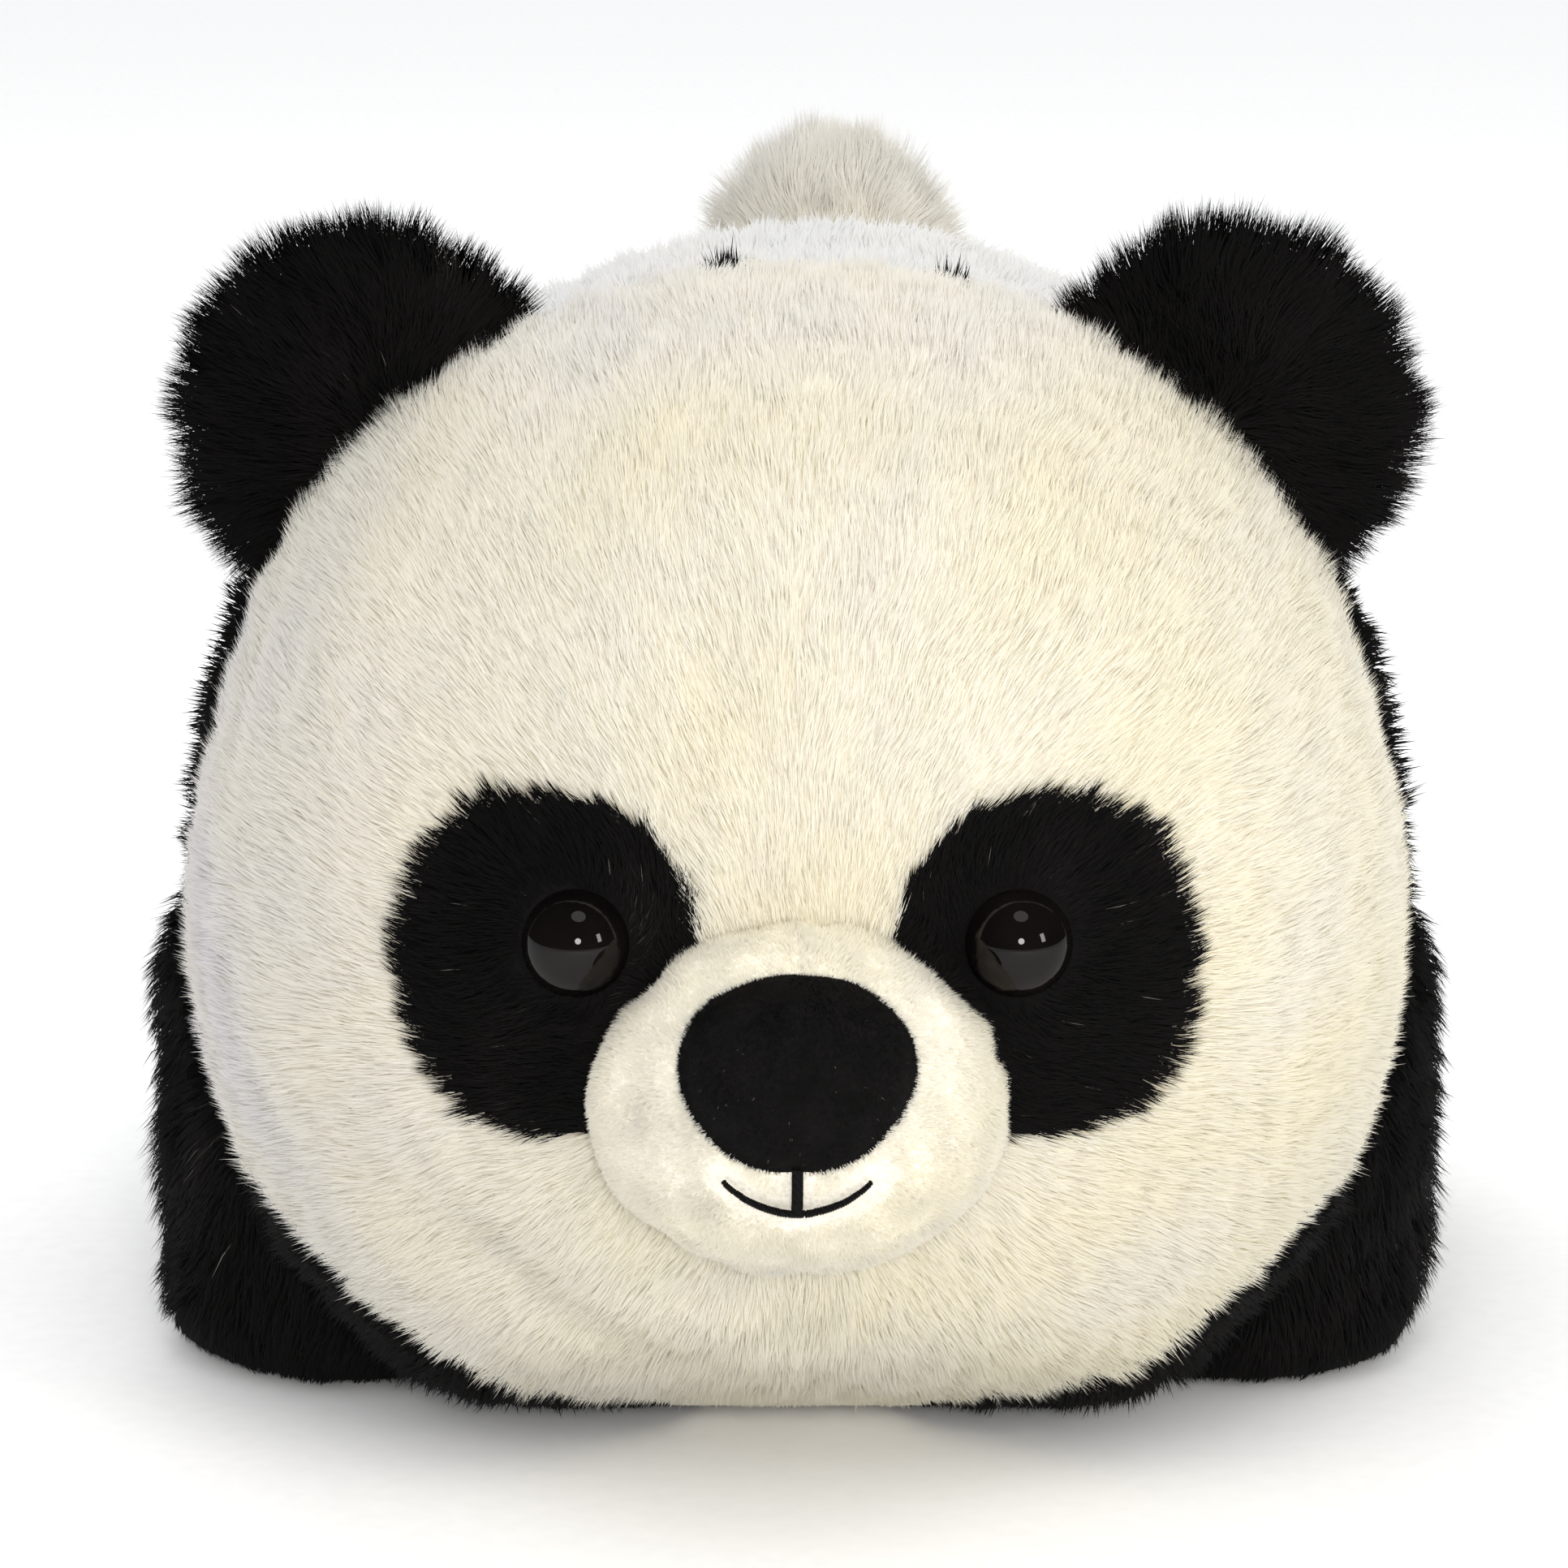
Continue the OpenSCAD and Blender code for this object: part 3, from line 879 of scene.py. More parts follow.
def washer_material():
    """Plain moulded nylon with a fine grain."""
    shading = Shading("washer_plastic", Roughness=0.45, IOR=1.5)
    place = shading.place()
    grain = shading.node("TexNoise", Vector=place, Scale=1500.0, Detail=4.0).outputs[0]
    colour = shading.ramp(grain, [(0.3, srgb(214, 213, 208)), (0.7, srgb(236, 235, 230))])
    shading.join(colour, "Base Color")
    shading.bump(grain, 0.03 * MM, 0.5)
    return shading.material


def floor_material():
    """Matt white paper, evenly lit, with a trace of grain."""
    shading = Shading("studio_paper", Roughness=0.9, Specular_IOR_Level=0.1)
    grain = shading.node("TexNoise", Vector=shading.place(), Scale=300.0, Detail=3.0).outputs[0]
    shading.join(shading.ramp(grain, [(0.3, (0.93, 0.93, 0.93)), (0.7, (0.96, 0.96, 0.96))]), "Base Color")
    return shading.material


def make_materials():
    """Every material of the toy, by name."""
    # Painted shade for the strands' roots, and painted light for their tips, where light passes through them.
    cream_root_shade, white_root_shade, black_root_shade = (0.98, 0.965, 0.93), (0.97, 0.97, 0.965), (0.6, 0.6, 0.6)
    pale_tip_light, black_tip_light = (1.02, 1.02, 1.02), (1.3, 1.2, 1.15)
    # The cool end of this ramp serves the shaded side and the warmer end the lit side: painted light, with
    # random tone between.
    cream_tones = [srgb(240, 238, 242), srgb(248, 246, 241), srgb(252, 249, 240), srgb(253, 249, 233)]
    white_tones = [srgb(244, 245, 247), srgb(249, 249, 248), srgb(252, 251, 249)]
    # The palest black tone is taken by a few strands: pale fluff, and painted glints on the black fibres.
    black_tones = [srgb(9, 8, 8), srgb(12, 11, 11), srgb(19, 16, 16), srgb(96, 91, 88)]
    return {
        "cream_pile": pile_material("cream_pile", cream_tones, cream_root_shade, pale_tip_light, 0.9, 0.1, 0.5),
        "white_pile": pile_material("white_pile", white_tones, white_root_shade, pale_tip_light, 0.9, 0.1, 0.5),
        "black_pile": pile_material("black_pile", black_tones, black_root_shade, black_tip_light, 0.75, 0.12, 0.06),
        "cream_backing": backing_material("cream_backing", srgb(244, 239, 226), srgb(232, 225, 209)),
        "white_backing": backing_material("white_backing", srgb(238, 235, 228), srgb(224, 220, 212)),
        "black_backing": backing_material("black_backing", srgb(16, 14, 14), srgb(9, 8, 8)),
        "black_thread": thread_material("black_thread", srgb(14, 12, 12), srgb(5, 4, 4)),
        "cream_thread": thread_material("cream_thread", srgb(236, 228, 206), srgb(190, 180, 156)),
        "filling": filling_material(),
        "eye": eye_material(),
        "washer": washer_material(),
    }


# ---------------------------------------------------------------- pile


class Nap:
    """What one kind of pile is like: how thick it grows, how long it is and how it lies."""

    def __init__(self, per_mm2, length, lift, tip_lift, width, stray=9, swirl=14, clump=0.35, lint_and_glints=0.0):
        self.density = per_mm2 / MM**2
        self.length = length
        self.lift = math.radians(lift)
        self.tip_lift = math.radians(tip_lift)
        self.width = width
        self.stray = math.radians(stray)
        self.swirl = math.radians(swirl)
        self.clump = clump
        # The share of strands given the palest tone: pale fluff, and painted glints.
        self.lint_and_glints = lint_and_glints


def scatter(skin, density, rng):
    """Random places spread evenly over a skin, and the skin's outward direction at each."""
    points, outward, faces = coords(skin), normals(skin), triangles(skin)
    corners = points[faces]
    spans = corners[:, 1:] - corners[:, :1]
    areas = np.linalg.norm(np.cross(spans[:, 0], spans[:, 1]), axis=1) / 2
    count = int(areas.sum() * density)
    chosen = rng.choice(len(faces), count, p=areas / areas.sum())
    a, b = rng.random((2, count))
    flip = a + b > 1
    a[flip], b[flip] = 1 - a[flip], 1 - b[flip]
    share = np.stack([1 - a - b, a, b], 1)[:, :, None]
    return (corners[chosen] * share).sum(1), unit((outward[faces[chosen]] * share).sum(1))


def tufts(roots, amount, rng):
    """Small tufts, as fibres cling together: each root's leading strand, and how far it is drawn to it."""
    guides = rng.choice(len(roots), max(len(roots) // 16, 1), replace=False)
    tree = KDTree(len(guides))
    for number, guide in enumerate(guides):
        tree.insert(roots[guide], number)
    tree.balance()
    nearest = guides[[tree.find(root)[1] for root in roots]]
    return nearest, amount * rng.uniform(0.4, 1.0, (len(roots), 1))


def strand_mesh(name, points, shading_normals, columns):
    """Flat tapering strands, five points each, with their colour column and length in the UV map."""
    count = len(points) // 5
    first = np.arange(count)[:, None] * 5
    corners = (first + np.array([[1, 0, 2, 3, 3, 2, 4]])).ravel()
    starts = (np.arange(count)[:, None] * 7 + np.array([[0, 4]])).ravel()
    mesh = bpy.data.meshes.new(name)
    mesh.vertices.add(len(points))
    mesh.vertices.foreach_set("co", np.ascontiguousarray(points, np.float32).ravel())
    mesh.loops.add(len(corners))
    mesh.loops.foreach_set("vertex_index", corners.astype(np.int32))
    mesh.polygons.add(len(starts))
    mesh.polygons.foreach_set("loop_start", starts.astype(np.int32))
    mesh.update(calc_edges=True)
    mesh.polygons.foreach_set("use_smooth", np.ones(len(starts), bool))
    half = 0.0008
    across = np.array([half, -half, -half, half, half, -half, 0])
    upright = np.array([0.02, 0.02, 0.5, 0.5, 0.5, 0.5, 0.98])
    uv = np.empty((count, 7, 2), np.float32)
    uv[:, :, 0] = columns[:, None] + across
    uv[:, :, 1] = upright
    mesh.uv_layers.new(name="OFBake").data.foreach_set("uv", uv.ravel())
    mesh.normals_split_custom_set_from_vertices(shading_normals.astype(np.float32))
    obj = bpy.data.objects.new(name, mesh)
    bpy.context.scene.collection.objects.link(obj)
    return obj


def grow_pile(name, skin, nap, comb, tone, seed, keep=None, trim=None):
    """Grows strands on a skin. Each test takes the roots' places: comb gives the way they lie, tone their
    colour column, keep which of them stay, and trim their share of the full length."""
    rng = np.random.default_rng(seed)
    roots, outward = scatter(skin, nap.density, rng)
    if keep is not None:
        kept = keep(roots)
        roots, outward = roots[kept], outward[kept]
    count = len(roots)
    way = comb(roots)
    way = unit(way - np.sum(way * outward, axis=1, keepdims=True) * outward)
    angle = nap.swirl * waves(roots, 26 * MM, seed) + 0.6 * nap.swirl * waves(roots, 9 * MM, seed + 1)
    way = turned(way, outward, angle + rng.normal(0, nap.stray, count))
    length = nap.length * (1 + 0.10 * waves(roots, 12 * MM, seed + 2) + rng.normal(0, 0.10, count))
    share = np.ones(count) if trim is None else trim(roots)
    length = length * share
    lift = nap.lift * (1 + 0.25 * waves(roots, 7 * MM, seed + 3)) + rng.normal(0, 0.12, count)
    lift = (lift * np.sqrt(share))[:, None]
    tip_lift = lift + nap.tip_lift - nap.lift + rng.normal(0, 0.10, count)[:, None]
    start = roots - outward * 0.4 * MM
    bend = start + (way * np.cos(lift) + outward * np.sin(lift)) * (length * 0.5)[:, None]
    tip = bend + (way * np.cos(tip_lift) + outward * np.sin(tip_lift)) * (length * 0.5)[:, None]
    leader, pull = tufts(roots, nap.clump, rng)
    bend += (bend[leader] - bend) * pull * 0.45
    tip += (tip[leader] - tip) * pull
    side = np.cross(outward, way)
    roll = rng.normal(0, 0.3, count)
    across = turned(side, way, roll) * (nap.width / 2 * rng.uniform(0.7, 1.2, count))[:, None]
    points = np.stack([start - across, start + across, bend - across * 0.8, bend + across * 0.8, tip], 1)
    points[:, :, 2] = np.maximum(points[:, :, 2], 0.25 * MM)
    facing = turned(outward, way, roll)
    soft = unit(outward + facing * 0.2 + rng.normal(0, 0.03, (count, 3)))
    columns = tone(roots) + rng.normal(0, 0.08, count)
    # A share of strands takes the palest tone: pale fluff, and painted glints.
    columns[rng.random(count) < nap.lint_and_glints] = 1
    columns = np.clip(columns, 0.003, 0.997)
    return strand_mesh(name, points.reshape(-1, 3), np.repeat(soft, 5, axis=0), columns)


# ---------------------------------------------------------------- how the pile lies and looks


def from_muzzle(points):
    """Combed away from the muzzle, and round each eye instead of over it."""
    way = unit(points - MUZZLE_MID)
    for side in SIDES.values():
        eye = np.array([side * EYE_X, face_y(EYE_X, EYE_Z), EYE_Z])
        away = points - eye
        way += unit(away) * 2.5 * dip(np.linalg.norm(away, axis=1), 10 * MM)[:, None]
    return way


def backwards(points):
    """Combed back along the body, and a little down its sides."""
    way = np.tile(BACKWARD, (len(points), 1))
    way[:, 2] -= 0.35
    return way


def away_from(centre):
    """Combed outwards from a point."""
    return lambda points: points - centre


def cream_tone(points):
    """Cooler towards the panda's right and at the top, warmer over the middle and the left, with random
    patches. The warmer left and the cooler right edge are painted light: the key and window lights fall on
    the left, and the right edge lies in shade.
    """
    # Painted light: warmer towards the lit left, cooler at the shaded right edge.
    painted_warm_light = 0.55 + 0.28 * smooth_step(points[:, 0], -85 * MM, 20 * MM)
    painted_cool_shade = 0.35 * smooth_step(-points[:, 0], 45 * MM, 85 * MM)
    cool_top = 0.35 * smooth_step(points[:, 2], AXIS_Z + 70 * MM, AXIS_Z + 84 * MM)
    return np.maximum(painted_warm_light - painted_cool_shade - cool_top, 0.2) + 0.10 * waves(points, 30 * MM, 71)


def black_tone(points):
    """Nearly even, with a few browner patches."""
    return 0.32 + 0.15 * waves(points, 18 * MM, 72)


def white_tone(points):
    """Nearly even white."""
    return 0.6 + 0.2 * waves(points, 24 * MM, 73)


# ---------------------------------------------------------------- eyes and mouth


def eye_place(side):
    """Where an eye's dome starts, and the direction it looks in."""
    facing = np.array(
        [
            side * math.cos(EYE_RISE) * math.sin(EYE_TURN),
            -math.cos(EYE_RISE) * math.cos(EYE_TURN),
            math.sin(EYE_RISE),
        ]
    )
    surface = np.array([side * EYE_X, face_y(EYE_X, EYE_Z, rise=0), EYE_Z])
    return surface - facing * EYE_SINK, facing


def make_eye(side_name):
    """A domed safety eye with its skirt and shank."""
    mid, facing = eye_place(SIDES[side_name])
    angle = np.linspace(0, math.pi / 2, 30)
    dome_r, dome_h = EYE_R * np.cos(angle), EYE_R * np.sin(angle)
    dome_r[-1] = 0
    shank_r, shank_len, skirt = 2 * MM, 14 * MM, 2.6 * MM
    back_r = np.array([0, shank_r, shank_r, EYE_R - 1.2 * MM, EYE_R - 0.3 * MM])
    back_h = np.array([-shank_len, -shank_len, -skirt - 0.2 * MM, -skirt, -skirt + 0.9 * MM])
    r, h = np.concatenate([back_r, dome_r]), np.concatenate([back_h, dome_h])
    along = unit(np.cross(facing, UPWARD))
    return spun(f"eye_{side_name}_dome", r, h, 72, mid, facing, along, np.cross(along, facing))


def mouth_path():
    """The mouth seen from the front: points and widths of the smile, then of the upright stitch."""
    width, drop, low = 18 * MM, 4 * MM, 51 * MM
    radius = (width**2 / 4 + drop**2) / (2 * drop)
    spread = math.asin(width / 2 / radius)
    angle = np.linspace(-spread, spread, 62)
    smile = np.stack([radius * np.sin(angle), low + radius * (1 - np.cos(angle))], 1)
    nose_foot = nose_frame()[0][2] - NOSE_R
    height = np.linspace(low, nose_foot + 5.2 * MM, 26)
    upright = np.stack([np.zeros(len(height)), height], 1)
    taper = 1.15 - 0.5 * (np.abs(smile[:, 0]) / (width / 2)) ** 2
    return (smile, taper), (upright, np.full(len(upright), 1.45))


def make_mouth(muzzle):
    """Satin stitches laid side by side along the smile and the upright line."""
    ground = BVHTree.FromObject(muzzle, bpy.context.evaluated_depsgraph_get())
    bead_r, bead_h = egg_profile(2.0, 1.0, 1.0, 9)
    verts, faces = [], []
    for path, widths in mouth_path():
        ways = unit(np.gradient(path, axis=0))
        for (x, z), way, width in zip(path, ways, widths):
            half = 0.55 * width
            hit, normal, _, _ = ground.ray_cast(Vector((x, -1, z)), Vector((0, 1, 0)))
            out = np.array(normal)
            along = unit(np.array([way[0], 0, way[1]]) - out * (out[0] * way[0] + out[2] * way[1]))
            across = unit(np.cross(out, along) + 0.35 * along)
            along = np.cross(across, out)
            mid = np.array(hit) + out * 1.1 * MM
            turn = np.linspace(0, 2 * math.pi, 8, endpoint=False)
            start = len(verts)
            for r, h in zip(bead_r[1:-1], bead_h[1:-1]):
                for t in turn:
                    around = along * math.cos(t) * 0.26 + out * math.sin(t) * 0.45
                    verts.append(mid + (across * h * half + around * r) * MM)
            verts.append(mid - across * half * MM)
            verts.append(mid + across * half * MM)
            faces += [tuple(start + i for i in face) for face in grid_faces(len(bead_r) - 2, len(turn))]
    return mesh_object("mouth_stitches", verts, faces)


def mouth_distance(points):
    """How far points are from the embroidered mouth, seen from the front."""
    flat = points[:, [0, 2]]
    nearest = np.full(len(points), np.inf)
    for path, _ in mouth_path():
        for place in path[::3]:
            nearest = np.minimum(nearest, np.linalg.norm(flat - place, axis=1))
    return nearest


# ---------------------------------------------------------------- making the toy

materials = make_materials()


def settle(obj, material, body, nodes=(), bend=None):
    """Finishes a piece: its material, the toy's lean, the body it rides on, and its CAD nodes. A piece given
    a bend rides on no body; its place is fixed in its mesh.
    """
    obj.data.materials.clear()
    obj.data.materials.append(materials[material])
    set_coords(obj, leaned(coords(obj)))
    if bend:
        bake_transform(obj)
    else:
        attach(obj, body)
    if nodes:
        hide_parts(*nodes)
    return obj


def stuffed(skin, name, inset):
    """A copy of a skin taken in on all sides: the filling it holds."""
    filling = skin.copy()
    filling.data = skin.data.copy()
    filling.name = filling.data.name = name
    bpy.context.scene.collection.objects.link(filling)
    set_coords(filling, coords(skin) - normals(skin) * inset)
    return filling


def bend_span(place, out, low, high):
    """Two points along a sewn-on part's outward direction, at distances from its seam."""
    return tuple(place + out * low), tuple(place + out * high)


# How thick, long and flat each kind of pile is
HEAD_NAP = Nap(6.5, 5.2 * MM, lift=36, tip_lift=14, width=0.2 * MM, stray=7, swirl=9, clump=0.12)
BAND_NAP = Nap(2.2, 7 * MM, lift=42, tip_lift=20, width=0.32 * MM)
BACK_NAP = Nap(2.8, 6.5 * MM, lift=38, tip_lift=16, width=0.3 * MM, clump=0.2)
BELLY_NAP = Nap(1.2, 4 * MM, lift=8, tip_lift=2, width=0.38 * MM)
PATCH_NAP = Nap(9.0, 4.6 * MM, lift=50, tip_lift=30, width=0.18 * MM, clump=0.25, lint_and_glints=0.001)
EAR_NAP = Nap(8.0, 8 * MM, lift=58, tip_lift=48, width=0.2 * MM, stray=14, swirl=18, clump=0.4, lint_and_glints=0.0003)
LEG_NAP = Nap(2.6, 6.5 * MM, lift=40, tip_lift=16, width=0.3 * MM, lint_and_glints=0.0005)
TAIL_NAP = Nap(7.0, 8 * MM, lift=60, tip_lift=46, width=0.2 * MM, stray=16, swirl=22, clump=0.25)
MUZZLE_NAP = Nap(14.0, 1.9 * MM, lift=46, tip_lift=24, width=0.16 * MM, stray=14, swirl=18, clump=0.25)
NOSE_NAP = Nap(
    16.0, 0.9 * MM, lift=60, tip_lift=50, width=0.13 * MM, stray=20, swirl=20, clump=0.2, lint_and_glints=0.004
)


def under_muzzle(points):
    """True where the muzzle hides the face."""
    across = points[:, 0] / (MUZZLE_HALF_W - 2.5 * MM)
    upright = (points[:, 2] - MUZZLE_MID[2]) / (MUZZLE_R - 2.5 * MM)
    return (across**2 + upright**2 < 1) & (points[:, 1] < DOME_Y - 30 * MM)


def under_ear(points):
    """True where an ear's base hides the head."""
    hidden = np.zeros(len(points), bool)
    for side_name in SIDES:
        place, out, along = ear_frame(side_name)
        local = points - place
        on_seam = (np.abs(local @ along) < EAR_SEAM_HALF) & (np.abs(local[:, 1]) < 3.5 * MM)
        hidden |= on_seam & (local @ out > -20 * MM)
    return hidden


def floor_trim(points):
    """Pile is pressed short where it lies on the floor."""
    return 0.3 + 0.7 * smooth_step(points[:, 2], 1 * MM, 13 * MM)


def body_trim(points):
    """Pile is pressed short under the belly and where the legs lie against the body."""
    share = floor_trim(points)
    for pair in LEG_PAIRS:
        place, _ = hinge(f"{pair}_leg_left_lift")
        along = (points[:, 1] - place[1] + LEG_FORWARD[pair]) / (LEG_R * LEG_LONG)
        near = np.hypot(along, (points[:, 2] - 22 * MM) / (38 * MM))
        beside = (near < 1) & (np.abs(points[:, 0]) > 40 * MM)
        share = np.where(beside, np.minimum(share, 0.25), share)
    return share


def band_trim(points):
    """Over the head the black pile is too short to show, but for two gaps: their places and widths."""
    over = smooth_step(points[:, 2], AXIS_Z + 68 * MM, AXIS_Z + 78 * MM)
    gaps = dip(points[:, 0] + 10 * MM, 7 * MM) + dip(points[:, 0] - 22 * MM, 6 * MM)
    return body_trim(points) * (1 - over * (0.75 - 1.05 * gaps))


def eye_trim(points):
    """Pile is shorter close round the eyes."""
    share = np.ones(len(points))
    for side in SIDES.values():
        away = smooth_step(eye_distance(points, side), 6 * MM, 12 * MM)
        share = np.minimum(share, 0.45 + 0.55 * away)
    return share


def off_eyes(points):
    """True away from the eyes' skirts."""
    clear = np.ones(len(points), bool)
    for side in SIDES.values():
        clear &= eye_distance(points, side) > EYE_R - 0.8 * MM
    return clear


def make_trunk():
    """The body's panels, its filling and its pile."""
    whole = make_body()
    swell(whole, seam_hold(coords(whole)), cap=2.5 * MM)
    subdivide(whole)
    cut_along_seams(whole)
    filling = stuffed(whole, "body_filling", 1.2 * MM)
    settle(filling, "filling", "body", ["body_stuffing"])
    panels = body_panels(whole)
    bpy.data.objects.remove(whole)
    looks = {
        "face_panel": ("cream", "cream_plush", HEAD_NAP, from_muzzle, cream_tone),
        "shoulder_band": ("black", "black_plush", BAND_NAP, backwards, black_tone),
        "back_panel": ("white", "white_plush", BACK_NAP, backwards, white_tone),
        "rump_panel": ("white", "white_plush", BACK_NAP, backwards, white_tone),
        "belly_panel": ("white", "white_plush", BELLY_NAP, backwards, white_tone),
        "eye_patch_left": ("black", "black_plush", PATCH_NAP, from_muzzle, black_tone),
        "eye_patch_right": ("black", "black_plush", PATCH_NAP, from_muzzle, black_tone),
    }
    for number, (node, (colour, slot, nap, comb, tone)) in enumerate(looks.items()):
        panel = panels[node]
        seed = 100 + 10 * number
        if node.startswith("eye_patch"):
            piles = [grow_pile(f"{node}_pile", panel, nap, comb, tone, seed, off_eyes, eye_trim)]
        else:
            trim = band_trim if node == "shoulder_band" else body_trim
            piles = []
            for part, here in enumerate(quarters(split_by_height=node == "face_panel")):

                def keep(points, here=here):
                    return here(points) & ~under_muzzle(points) & ~under_ear(points)

                name = f"{node}_pile_{part + 1}"
                piles.append(grow_pile(name, panel, nap, comb, tone, seed + part, keep, trim))
        for pile in piles:
            settle(pile, f"{colour}_pile", "body")
        settle(panel, f"{colour}_backing", "body", [node])


def quarters(split_by_height):
    """Tests for the parts a pile is grown in: left and right, each in one piece or in two by height."""
    edges = [-1, FACE_SPLIT_Z, 1] if split_by_height else [-1, 1]
    tests = []
    for side in SIDES.values():
        for low, high in zip(edges, edges[1:]):

            def here(points, side=side, low=low, high=high):
                return (points[:, 0] * side > 0) & (points[:, 2] > low) & (points[:, 2] <= high)

            tests.append(here)
    return tests


def make_face_details():
    """The muzzle, the nose, the mouth and the eyes."""
    muzzle = make_muzzle()
    nose = make_nose()
    mouth = make_mouth(muzzle)
    for skin, part, inset in ((muzzle, "muzzle", 1 * MM), (nose, "nose", 0.8 * MM)):
        filling = stuffed(skin, f"{part}_filling", inset)
        settle(filling, "filling", "body", [f"{part}_stuffing"])
    settle(muzzle, "cream_backing", "body", ["muzzle_cover"])
    settle(nose, "black_backing", "body", ["nose_cover"])
    settle(mouth, "black_thread", "body", ["mouth_stitching"])
    nose_mid, _, _ = nose_frame()

    def open_muzzle(points):
        from_nose = (points - nose_mid) / np.array([NOSE_HALF_W, NOSE_R, NOSE_R])
        outside_nose = np.linalg.norm(from_nose, axis=1) > 0.93
        outside_face = points[:, 1] < face_y(points[:, 0], points[:, 2]) + 1 * MM
        return outside_nose & outside_face & (mouth_distance(points) > 0.7 * MM)

    def by_mouth(points):
        return 0.4 + 0.6 * smooth_step(mouth_distance(points), 1 * MM, 4 * MM)

    def off_muzzle(points):
        local = (points - MUZZLE_MID) / np.array([MUZZLE_HALF_W, MUZZLE_R, MUZZLE_R])
        return np.linalg.norm(local, axis=1) > 0.9

    comb = away_from(nose_mid)
    for part, here in enumerate(quarters(split_by_height=False)):

        def keep(points, here=here):
            return here(points) & open_muzzle(points)

        name = f"muzzle_pile_{part + 1}"
        pile = grow_pile(name, muzzle, MUZZLE_NAP, comb, cream_tone, 300 + part, keep, by_mouth)
        settle(pile, "cream_pile", "body")
    comb = away_from(nose_mid + UPWARD * 6 * MM)
    pile = grow_pile("nose_pile", nose, NOSE_NAP, comb, black_tone, 310, off_muzzle)
    settle(pile, "black_pile", "body")
    for side_name in SIDES:
        eye = make_eye(side_name)
        settle(eye, "eye", "body", [f"eye_{side_name}"])


def make_ears():
    """Both ears with their filling and pile."""
    for side_name, side in SIDES.items():
        place, out, _ = ear_frame(side_name)
        body = f"ear_{side_name}_body"
        span = bend_span(place, out, -6 * MM, 3 * MM)
        skin = make_ear(side_name)
        filling = stuffed(skin, f"ear_{side_name}_filling", 0.8 * MM)
        settle(filling, "filling", body, [f"ear_batting_{side_name}"], span)
        nodes = [f"ear_front_{side_name}", f"ear_back_{side_name}"]
        settle(skin, "black_backing", body, nodes, span)

        def above_head(points):
            return np.hypot(points[:, 0], points[:, 2] - AXIS_Z) > SKIN_R - 1 * MM

        comb = away_from(place - out * 6 * MM)
        pile = grow_pile(f"ear_{side_name}_pile", skin, EAR_NAP, comb, black_tone, 400 + side, above_head)
        settle(pile, "black_pile", body, bend=span)


def downwards(points):
    """Combed down and a little back."""
    way = np.tile(-UPWARD, (len(points), 1))
    way[:, 1] += 0.45
    return way


def make_legs():
    """The four legs: cover, sole, filling and pile."""
    for side_name, side in SIDES.items():
        for number, pair in enumerate(LEG_PAIRS):
            body = f"{pair}_leg_{side_name}_body"
            place, _ = hinge(f"{pair}_leg_{side_name}_lift")
            span = bend_span(place, -UPWARD, -4 * MM, 8 * MM)
            whole, filling = make_leg(side_name, pair)
            nodes = [f"{pair}_leg_stuffing_{side_name}"]
            settle(filling, "filling", body, nodes, span)
            low = face_mids(whole)[:, 2] < 3 * MM
            sole = part_of(whole, f"{pair}_leg_{side_name}_sole_skin", low)
            cover = part_of(whole, f"{pair}_leg_{side_name}_cover_skin", ~low)
            settle(sole, "black_backing", body, [f"{pair}_leg_sole_{side_name}"])
            nodes = [f"{pair}_leg_cover_{side_name}"]
            settle(cover, "black_backing", body, nodes, span)

            def outer(points):
                return over_body(points, 1.6 * MM)

            name = f"{pair}_leg_{side_name}_pile"
            seed = 500 + 10 * number + side
            pile = grow_pile(name, whole, LEG_NAP, downwards, black_tone, seed, outer, floor_trim)
            settle(pile, "black_pile", body, bend=span)
            bpy.data.objects.remove(whole)


def make_tail_pieces():
    """The tail with its filling and pile."""
    skin, place, out = make_tail()
    span = bend_span(place, out, -5 * MM, 3 * MM)
    filling = stuffed(skin, "tail_filling", 1 * MM)
    settle(filling, "filling", "tail_body", ["tail_stuffing"], span)

    def outer(points):
        return over_body(points, 0.5 * MM)

    comb = away_from(place - out * 4 * MM)
    pile = grow_pile("tail_pile", skin, TAIL_NAP, comb, cream_tone, 600, outer)
    settle(pile, "cream_pile", "tail_body", bend=span)
    settle(skin, "cream_backing", "tail_body", ["tail_upper", "tail_lower"], span)


def twisted_thread(name, line):
    """Two plies twisted round a line of points."""
    ways = unit(np.gradient(line, axis=0))
    first = unit(np.cross(ways, BACKWARD + 0.3 * UPWARD))
    second = np.cross(ways, first)
    along = np.concatenate([[0], np.cumsum(np.linalg.norm(np.diff(line, axis=0), axis=1))])
    pitch, ply_r, ply_out = 2.4 * MM, 0.32 * MM, 0.28 * MM
    turn = np.linspace(0, 2 * math.pi, 6, endpoint=False)
    verts, faces = [], []
    for phase in (0, math.pi):
        twist = 2 * math.pi * along / pitch + phase
        core = line + (first * np.cos(twist)[:, None] + second * np.sin(twist)[:, None]) * ply_out
        ring = np.cos(turn)[None, :, None] * first[:, None] + np.sin(turn)[None, :, None] * second[:, None]
        start = len(verts)
        verts += list((core[:, None] + ring * ply_r).reshape(-1, 3)) + [core[0], core[-1]]
        faces += [tuple(start + i for i in face) for face in grid_faces(len(line), len(turn))]
    return mesh_object(name, verts, faces)


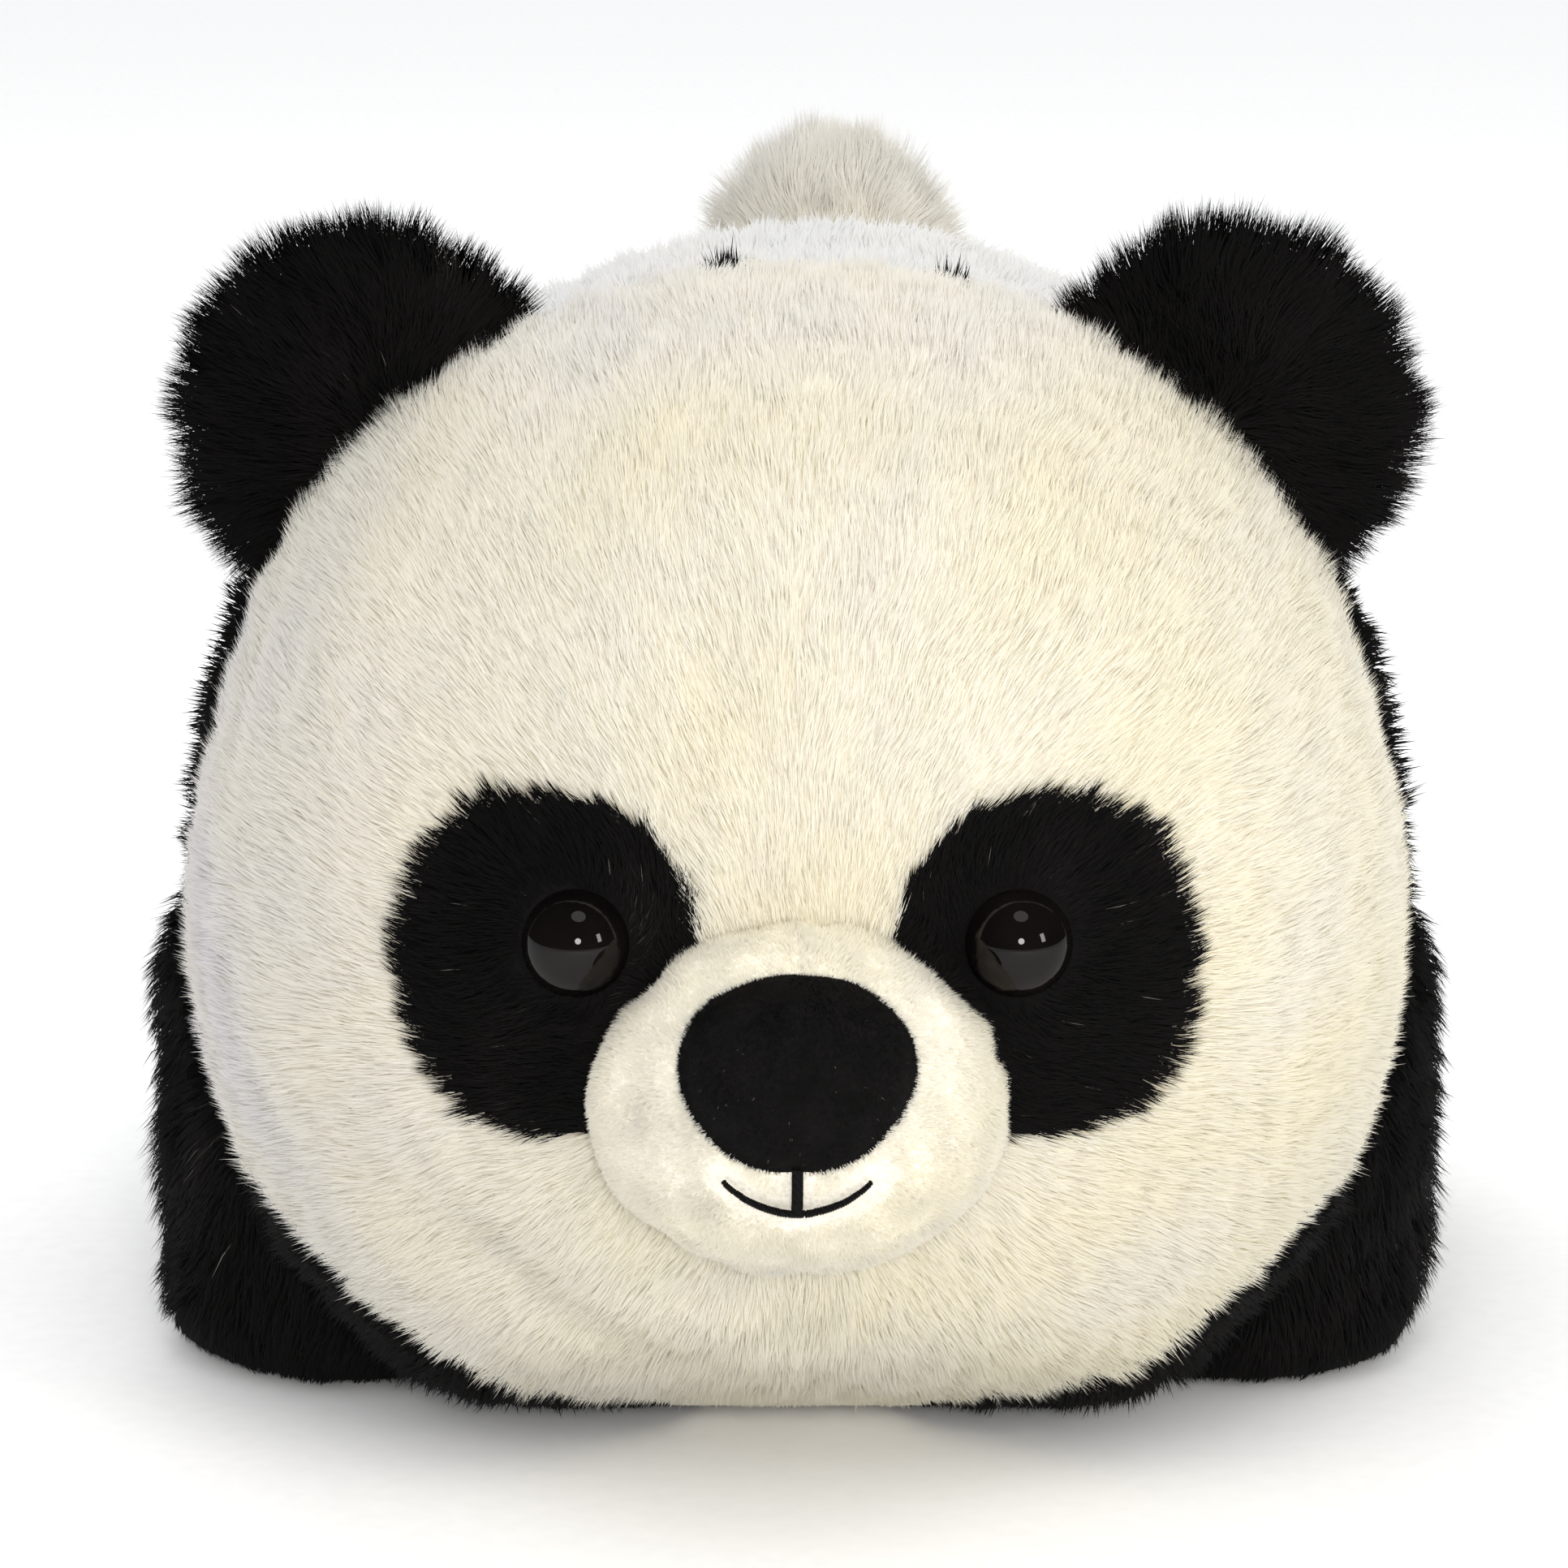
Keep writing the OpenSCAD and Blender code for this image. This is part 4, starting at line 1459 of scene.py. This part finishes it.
def make_seam_threads():
    """The thread that holds each ear, each leg and the tail, laid along its seam on the body."""
    seams = [("tail_bend", "tail_thread", "cream_thread", 11 * MM)]
    for side_name in SIDES:
        seams.append((f"ear_{side_name}_bend", f"ear_thread_{side_name}", "black_thread", 19 * MM))
        for pair in LEG_PAIRS:
            joint, node = f"{pair}_leg_{side_name}_lift", f"{pair}_leg_thread_{side_name}"
            seams.append((joint, node, "black_thread", 18 * MM))
    for joint, node, kind, half in seams:
        place, axis = hinge(joint)
        line = place + np.linspace(-half, half, 90)[:, None] * unit(axis)
        radial = line * np.array([1, 0, 1]) - np.array([0, 0, AXIS_Z])
        surface = unit(radial) * (body_radius(line[:, 1]) + 0.7 * MM)[:, None]
        line = surface + line * np.array([0, 1, 0]) + np.array([0, 0, AXIS_Z])
        settle(twisted_thread(f"{node}_plies", line), kind, "body", [node])


def finish_washers():
    """The moulded washers inside the face keep their CAD shape."""
    for side_name in SIDES:
        washer = frame["nodes"][f"eye_washer_{side_name}"]
        washer.data.materials.clear()
        washer.data.materials.append(materials["washer"])


make_trunk()
make_face_details()
make_ears()
make_legs()
make_tail_pieces()
make_seam_threads()
finish_washers()

face_front = Vector((0, DOME_Y, AXIS_Z))
camera_at(
    elevation=math.radians(13.5),
    azimuth=math.radians(0),
    distance=0.770,
    target=face_front - Vector((1.7 * MM, 0, 0)),
    drop=15.4 * MM,
    focal_px=6700,
    image_px=1932,
)
stage_floor(floor_material())
stage_sky((0.985, 0.99, 1.0), strength=1.02, mirrored=0.03)
softbox("key", (0.1, -1.2, 0.45), face_front, (0.26, 0.26), 4.6, (1.0, 0.98, 0.94))
softbox("window", (1.0, -0.8, 0.5), face_front, (0.2, 0.35), 3.2, (1.0, 0.96, 0.90), "RECTANGLE")
softbox("top", (0.1, -0.45, 1.3), (0, 0, AXIS_Z), (0.6, 0.6), 1.8, (1.0, 0.99, 0.97))
softbox("back", (-0.2, 0.8, 1.1), face_front, (0.7, 0.7), 2.5, (1.0, 0.99, 0.97))
bpy.context.scene.view_settings.view_transform = "Standard"
